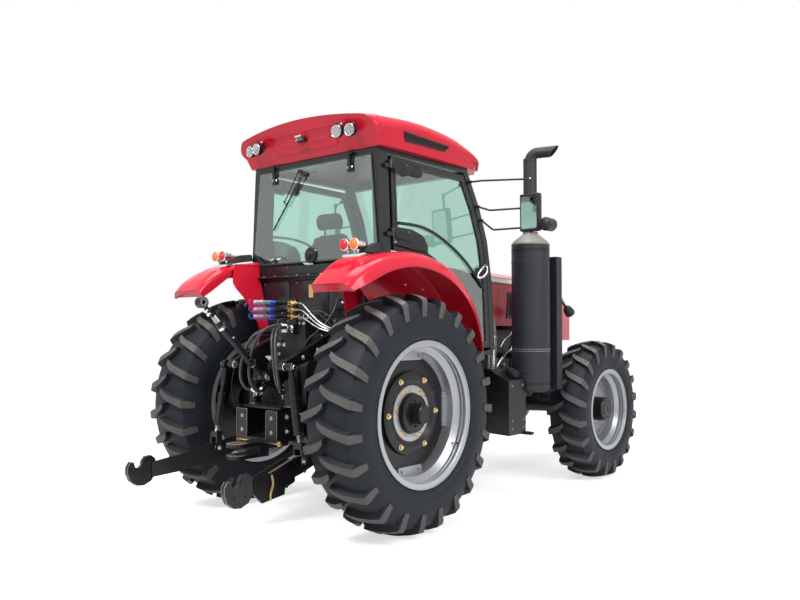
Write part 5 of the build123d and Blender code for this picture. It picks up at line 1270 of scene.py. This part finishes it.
# pressed ledge, cover plates and bolts of the cab's rear panel
for x0, x1, z0, z1 in ((-0.56, -0.25, 1.56, 1.8), (0.25, 0.56, 1.56, 1.8), (-0.18, 0.18, 1.5, 1.8),
        (-0.54, -0.24, 1.27, 1.5), (0.24, 0.54, 1.27, 1.5)):
    back = 0.0752
    shape.rings([[at(x, back + out, z) for x, z in box_corners(x0 + inset, x1 - inset, z0 + inset,
        z1 - inset)] for inset, out in ((0, -0.001), (0, 0.006), (0.01, 0.011))], SATIN)
    for x in (x0 + 0.022, x1 - 0.022):
        for z in (z0 + 0.022, z1 - 0.022):
            shape.hexagon(at(x, back + 0.011, z), REARWARD, 0.0075, 0.006, STEEL_DARK)
ledge = ((0.074, 1.822), (0.128, 1.822), (0.128, 1.832), (0.086, 1.846), (0.074, 1.846))
shape.slab([at(-0.6, b, z) for b, z in ledge], (1.2, 0, 0), SATIN)
for k in range(9):
    shape.hexagon(at(-0.52 + 0.13 * k, 0.112, 1.8345), UP, 0.007, 0.005, STEEL)
# plain yellow plate above the couplers
shape.block((-0.03, 0.02), (REAR_Y + 0.087, REAR_Y + 0.0905), (1.66, 1.76), GOLD)
# valve stack on the gearbox, with its levers' rods and caps
for k in range(4):
    x = -0.155 + 0.048 * k
    valve = ((0.19, 1.441), (0.285, 1.441), (0.285, 1.475), (0.268, 1.492), (0.19, 1.492))
    shape.slab([at(x, b, z) for b, z in valve], (0.04, 0, 0), CASTING)
    shape.hexagon(at(x + 0.02, 0.215, 1.492), UP, 0.011, 0.014, BRASS)
    shape.hexagon(at(x + 0.02, 0.285, 1.458), REARWARD, 0.01, 0.01, STEEL)
    shape.rod(at(x + 0.02, 0.245, 1.49), at(x + 0.02, 0.24, 1.53), 0.006, STEEL, 14)
for x, back, z in ((0.12, 0.3, 1.3), (0.12, 0.3, 1.23), (-0.12, 0.3, 1.25), (0.06, 0.3, 1.3)):
    shape.hexagon(at(x, back, z), REARWARD, 0.0125, 0.01, STEEL)
shape.done("cab_rear_trim", bevel=0.001)
for i, (x, z) in enumerate(((-0.14, 1.515), (-0.09, 1.512), (-0.04, 1.51))):
    tube(f"valve_pipe_{i}", [at(x, 0.24, 1.48), at(x, 0.236, z), at(x - 0.01, 0.215, z + 0.035),
        at(x - 0.06, 0.18, z + 0.04), at(x - 0.13, 0.16, z + 0.01 - 0.02 * i), at(x - 0.22, 0.155, z - 0.08),
        at(x - 0.27, 0.15, z - 0.19)], 0.0044, HOSE)
tube("harness_left", [at(0.3, 0.086, 1.56), at(0.32, 0.12, 1.52), at(0.3, 0.16, 1.45), at(0.24, 0.24, 1.4),
    at(0.14, 0.3, 1.37), at(0.08, 0.306, 1.33)], 0.008, HOSE)
tube("harness_right", [at(-0.3, 0.088, 1.64), at(-0.32, 0.13, 1.6), at(-0.31, 0.18, 1.5),
    at(-0.25, 0.25, 1.4), at(-0.18, 0.302, 1.34), at(-0.15, 0.306, 1.26)], 0.008, HOSE)

# ---------------- hood, grille and headlamps
HOOD = [(-1.425, 0.41, 1.45, 1.905, 1.985), (-2.35, 0.405, 1.44, 1.88, 1.965),
    (-3.12, 0.385, 1.3, 1.78, 1.87), (-3.42, 0.33, 1.29, 1.6, 1.66)]


def hood_at(back):
    """Half width, bottom, shoulder and crown of the hood."""
    for low, high in zip(HOOD, HOOD[1:]):
        if back >= high[0]:
            t = (back - low[0]) / (high[0] - low[0])
            return [a + (b - a) * t for a, b in zip(low[1:], high[1:])]
    return list(HOOD[-1][1:])


def on_hood(side, back, share, out):
    """Point on the hood's side, from its lower edge (0) to its shoulder (1)."""
    half, bottom, shoulder, _ = hood_at(back)
    return at(side * (half + out), back, bottom + (shoulder - bottom) * share)


shape = Shape()
for side in BOTH:
    def skin(back, share, out):
        return on_hood(side, back, share, out)

    # pale stripe with a dark line below it
    for low, high, material, out in ((0.9, 0.985, WHITE_PAINT, 0.0012), (0.868, 0.884, PLASTIC, 0.0013)):
        shape.rings([[skin(-1.47 - 0.13 * k, share, lift) for share, lift in ((low, -0.001), (high, -0.001),
            (high, out), (low, out))] for k in range(13)], material)
    # mesh panels in pressed frames
    for start, end, low, high in ((-2.04, -2.41, 0.16, 0.72), (-2.49, -2.9, 0.16, 0.68)):
        corners = [(start, low), (start - 0.03, high), (end + 0.05, high), (end, low)]
        inside = [(start - 0.022, low + 0.06), (start - 0.045, high - 0.06), (end + 0.066, high - 0.06),
            (end + 0.024, low + 0.06)]
        shape.layers(skin, ((corners, -0.001), (corners, 0.007), (inside, 0.007), (inside, 0.001)), PLASTIC,
            caps=False)
        shape.layers(skin, ((inside, 0.0002), (inside, 0.0022)), MESH_BLACK)
        count = int(abs(end - start) / 0.016)
        for k in range(count):
            b = start - 0.05 - (abs(end - start) - 0.11) * k / (count - 1)
            shape.rod(skin(b, low + 0.065, 0.003), skin(b, high - 0.065, 0.003), 0.002, PLASTIC, 6)
        for k in range(1, 9):
            s = low + 0.06 + (high - low - 0.12) * k / 9
            shape.rod(skin(start - 0.045, s, 0.003), skin(end + 0.06, s, 0.003), 0.0018, PLASTIC, 6)
    # seams between the panels, and bolts
    for b in (-1.9, -2.45):
        shape.rings([[skin(b - w, s, out) for w, out in box_corners(-0.003, 0.003, -0.001, 0.0009)]
            for s in (0.02, 0.78)], MESH_BLACK)
    for b in (-1.5, -2.9):
        shape.hexagon(skin(b, 0.12, 0), (side, 0, 0), 0.009, 0.007, STEEL)
shape.done("hood_trim", "hood_body", bevel=0.0005)

shape = Shape()
front = REAR_Y - 3.42
_, bottom, shoulder, _ = HOOD[-1][1:]
face = front + 0.018
for k in range(15):
    z = bottom + 0.02 + (shoulder - bottom - 0.05) * k / 14
    shape.block((-0.3, 0.3), (face - 0.019, face - 0.006), (z - 0.0032, z + 0.0032), PLASTIC)
for k in range(9):
    x = -0.296 + 0.074 * k
    shape.block((x - 0.004, x + 0.004), (face - 0.022, face - 0.005), (bottom + 0.012, shoulder - 0.03),
        PLASTIC)
shape.done("grille_bars", "hood_body", bevel=0.0008)

shape = Shape()
for side in BOTH:
    x0, x1, z0, z1 = side * 0.25 - 0.064, side * 0.25 + 0.064, 1.467, 1.573
    front_y = front - 0.0295
    shape.rings([[vec(x, y, z) for x, z in box_corners(x0 + inset, x1 - inset, z0 + inset, z1 - inset)] for y,
        inset in ((front + 0.006, 0), (front_y, 0), (front_y, 0.007), (front_y + 0.01, 0.01))], BLACK)
    for dx in (-0.029, 0.029):
        bulb = vec(side * 0.25 + dx, front_y + 0.008, 1.52)
        shape.lathe(bulb, FORWARD, [(-0.02, 0.004), (-0.014, 0.018), (-0.004, 0.0255), (0.0, 0.0265),
            (0.001, 0.0285), (-0.004, 0.0285)], CHROME, 40)
        shape.lathe(bulb, FORWARD, [(-0.02, 0.0), (-0.018, 0.006), (-0.004, 0.007), (-0.002, 0.0)],
            PALE_METAL, 20)
    shape.block((x0 + 0.008, x1 - 0.008), (front_y + 0.0005, front_y + 0.0035), (z0 + 0.008, z1 - 0.008),
        LENS)
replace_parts(shape.done("headlamp_units", "hood_body", 0.0008), "headlamps")

# ---------------- seat
VOXEL = 0.006
CLOTH_FRAMES = 20
PRESSURE = 4.0
CHANNEL_REACH = 0.016


def cushion(name, rings, cap, channels, press):
    """Padded piece: a remeshed hull swelled by cloth simulation, its movement capped, then smoothed.

    Sewn channels at the given distances from the middle are pressed in along a vector.
    """
    shape = Shape()
    shape.rings(rings, CLOTH)
    bmesh.ops.recalc_face_normals(shape.mesh, faces=shape.mesh.faces)
    data = bpy.data.meshes.new(name)
    shape.mesh.to_mesh(data)
    shape.mesh.free()
    piece = show(name, data)
    bpy.context.view_layer.objects.active = piece
    remesh = piece.modifiers.new("remesh", "REMESH")
    remesh.mode = "VOXEL"
    remesh.voxel_size = VOXEL
    piece.data = applied(piece)
    piece.modifiers.clear()
    start = [v.co.copy() for v in piece.data.vertices]
    cloth = piece.modifiers.new("cloth", "CLOTH")
    cloth.settings.quality = 4
    cloth.settings.use_pressure = True
    cloth.settings.uniform_pressure_force = PRESSURE
    cloth.settings.effector_weights.gravity = 0
    cloth.point_cache.frame_start = 1
    cloth.point_cache.frame_end = CLOTH_FRAMES
    for frame_number in range(1, CLOTH_FRAMES + 1):
        bpy.context.scene.frame_set(frame_number)
    swelled = applied(piece)
    piece.modifiers.clear()
    for vertex, before, after in zip(piece.data.vertices, start, swelled.vertices):
        move = after.co - before
        vertex.co = before + move * min(cap / max(move.length, 1e-9), 1)
    bpy.data.meshes.remove(swelled)
    bpy.context.scene.frame_set(1)
    smooth = piece.modifiers.new("smooth", "SMOOTH")
    smooth.factor = 0.6
    smooth.iterations = 8
    piece.data = applied(piece)
    piece.modifiers.clear()
    for vertex in piece.data.vertices:
        for place in channels:
            near = abs(vertex.co.x - place)
            if near < CHANNEL_REACH:
                vertex.co += press * (1 - near / CHANNEL_REACH) ** 2
    piece.data.materials.clear()
    piece.data.materials.append(CLOTH)
    piece.data.shade_smooth()
    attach(piece, "chassis")
    return piece


def rounded(x0, x1, back0, back1, z, radius):
    """Ring with rounded corners at a height."""
    return [at(x, back, z) for x, back in round_corners(x0, x1, back0, back1, radius)]


BACK_FOOT, BACK_HEIGHT = at(0, -0.245, 1.65), 0.54
LEAN = vec(0, 0.115, 0.54).normalized()
BACKWARD = vec(0, LEAN.z, -LEAN.y)


def back_ring(share, half_width, half_depth):
    """Rounded ring across the seat's back, at a share of its height."""
    pairs = round_corners(-half_width, half_width, -half_depth, half_depth, half_depth * 0.8)
    return [BACK_FOOT + LEAN * BACK_HEIGHT * share + vec(x, 0, 0) + BACKWARD * depth for x, depth in pairs]


seat_rings = [rounded(-0.238 - grow, 0.238 + grow, -0.688 - grow, -0.205 + grow, z, 0.05) for z,
    grow in ((1.546, -0.02), (1.56, -0.004), (1.6, 0), (1.622, -0.006), (1.634, -0.03))]
seat_pad = cushion("seat_pad", seat_rings, 0.011, (-0.15, 0.15), vec(0, 0, -0.0036))
cushion("seat_back", [back_ring(*row) for row in ((0.02, 0.19, 0.02), (0.06, 0.212, 0.034),
    (0.3, 0.226, 0.04), (0.6, 0.222, 0.038), (0.84, 0.196, 0.034), (0.95, 0.16, 0.028), (0.99, 0.12, 0.016))],
    0.01, (-0.13, 0.13), vec(0, -0.0036, 0))
cushion("head_pad", [back_ring(*row) for row in ((1.045, 0.098, 0.014), (1.065, 0.122, 0.026),
    (1.13, 0.134, 0.031), (1.21, 0.13, 0.03), (1.262, 0.112, 0.024), (1.28, 0.086, 0.012))], 0.007, (),
    vec(0, 0, 0))
# shell behind the back, piping, headrest posts and arm rests
shape = Shape()
wire(seat_rings[3] + seat_rings[3][:1], 0.0042, PLASTIC, 8)
section = ((-1, 0.05), (-0.6, 0.05768), (0, 0.062), (0.6, 0.05768), (1, 0.05), (1, 0.04), (0, 0.04),
    (-1, 0.04))
shape.rings([[BACK_FOOT + LEAN * BACK_HEIGHT * share + vec(x * half_width, 0, 0) + BACKWARD * out for x,
    out in section] for share, half_width in ((0.05, 0.185), (0.3, 0.215), (0.6, 0.21), (0.85, 0.18),
    (0.95, 0.14))], PLASTIC, smooth=True)
for side in BOTH:
    post = BACK_FOOT + vec(side * 0.062, 0, 0) + BACKWARD * 0.004
    shape.rod(post + LEAN * 0.5, post + LEAN * 0.6, 0.0065, STEEL_DARK, 16)
    shape.rings([[at(side * 0.292 + w * c, back, z + 0.02 * s) for c, s in circle(12)] for back, z,
        w in ((-0.235, 1.765, 0.012), (-0.26, 1.775, 0.026), (-0.42, 1.785, 0.03), (-0.56, 1.782, 0.028),
        (-0.59, 1.774, 0.014))], PLASTIC, smooth=True)
    shape.rod(at(side * 0.24, -0.225, 1.745), at(side * 0.292, -0.25, 1.768), 0.013, STEEL_DARK, 16)
shape.done("seat_frame", bevel=0.001)
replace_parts(seat_pad, "seat")

# ---------------- cab interior
shape = Shape()
# console with levers beside the seat
console = ((-0.82, 1.24), (-0.24, 1.24), (-0.24, 1.64), (-0.56, 1.69), (-0.8, 1.6))
shape.slab([at(-0.56, b, z) for b, z in console], (0.2, 0, 0), PLASTIC)
for x, back, top, material in ((-0.42, -0.64, 1.8, BLACK), (-0.47, -0.6, 1.815, BLACK),
        (-0.52, -0.56, 1.8, BLACK), (-0.44, -0.46, 1.79, RED), (-0.5, -0.42, 1.78, BLACK)):
    low = at(x, back, 1.655)
    high = at(x + 0.006, back - 0.018, top)
    shape.rod(low, high, 0.0055, STEEL, 12)
    shape.lathe(high, high - low, [(-0.02, 0.008), (-0.01, 0.015), (0.01, 0.0175), (0.022, 0.013),
        (0.026, 0.0)], material, 20)
    shape.lathe(low - vec(0, 0, 0.004), UP, [(0, 0.02), (0.01, 0.018), (0.022, 0.01)], HOSE, 20)
# pedals and the floor mat
shape.rings([rounded(-0.42, 0.42, -1.12, -0.7, z, 0.03) for z in (1.2352, 1.243)], HOSE)
for x in (-0.3, -0.19, 0.27):
    foot = at(x, -1.14, 1.33)
    shape.slab([foot + vec(x, z * 0.2, z) for x, z in box_corners(-0.042, 0.042, -0.05, 0.05)], (0, 0.012, 0),
        HOSE)
    shape.rod(foot, foot + vec(0, -0.11, 0.11), 0.009, BLACK, 14)
# instrument face on the dashboard
shape.rings([[at(x, back, z) for x, z in box_corners(-half, half, low, high)] for half, back, low,
    high in ((0.19, -1.129, 1.64, 1.768), (0.18, -1.118, 1.65, 1.76))], PLASTIC)
for x, r in ((-0.115, 0.038), (0.0, 0.046), (0.115, 0.038)):
    shape.lathe(at(x, -1.118, 1.705), REARWARD, [(0, r), (0.005, r), (0.006, r * 0.86), (0.002, r * 0.84)],
        CHROME, 36)
    shape.rod(at(x, -1.114, 1.705), at(x + r * 0.5, -1.114, 1.705 + r * 0.5), 0.0014, AMBER, 8)
shape.done("cab_interior", bevel=0.0015)


# ---------------- camera, lamps and floor
def aim(obj, target):
    """Turn a lamp or camera to look at a point."""
    obj.rotation_euler = (Vector(target) - obj.location).to_track_quat("-Z", "Y").to_euler()


# fitted to the photograph
LENS_MM, HEADING, PITCH = 35.28, radians(40.208), radians(1.893)
camera = show("camera", bpy.data.cameras.new("camera"))
camera.data.sensor_width = 36.0
camera.data.lens = LENS_MM
camera.location = at(-4.4066, 4.2389, 1.4423)
aim(camera, camera.location + vec(sin(HEADING) * cos(PITCH), -cos(HEADING) * cos(PITCH), sin(PITCH)))
bpy.context.scene.camera = camera


def lamp(name, place, target, size, power):
    """Soft square lamp."""
    data = bpy.data.lights.new(name, "AREA")
    data.size = size
    data.energy = power
    obj = show(name, data)
    obj.location = place
    aim(obj, target)


heart = vec(0, REAR_Y - 1.2, 1.3)
lamp("key", heart + vec(-1.0, 7.0, 7.0), heart, 3.0, 900)
lamp("side", heart + vec(-7.5, 1.0, 4.0), heart, 4.0, 420)
lamp("top", heart + vec(0, 0, 8.0), heart, 6.0, 520)



def seen_rays(tree, hidden, shown):
    """Value that is one thing on the object and another for camera, glossy and transmitted rays."""
    total = tree.add("LightPath", "Is Camera Ray")
    for name in ("Is Glossy Ray", "Is Transmission Ray"):
        total = tree.add("Math", "Value", {0: total, 1: tree.add("LightPath", name)}, operation="MAXIMUM")
    return tree.add("Mix", "Result", {"A": hidden, "B": shown, "Factor": total}, data_type="FLOAT")


floor_mesh = bpy.data.meshes.new("floor")
floor_mesh.from_pydata([(x, y, 0) for x, y in box_corners(-60, 60, -60, 60)], [], [(0, 1, 2, 3)])
floor = show("floor", floor_mesh)
pale = bpy.data.materials.new("floor_pale")
tree = Tree(pale)
tree.shade({"Base Color": (0.66, 0.66, 0.66, 1), "Roughness": 0.9, "Specular IOR Level": 0.1,
    "Emission Color": (1, 1, 1, 1), "Emission Strength": seen_rays(tree, 0.0, 0.62)})
floor_mesh.materials.append(pale)

world = bpy.data.worlds.new("studio")
bpy.context.scene.world = world
tree = Tree(world)
tree.put(tree.tree.nodes["Background"], {"Color": (1, 1, 1, 1), "Strength": seen_rays(tree, 0.55, 1.0)})

bpy.context.scene.view_settings.view_transform = "Standard"
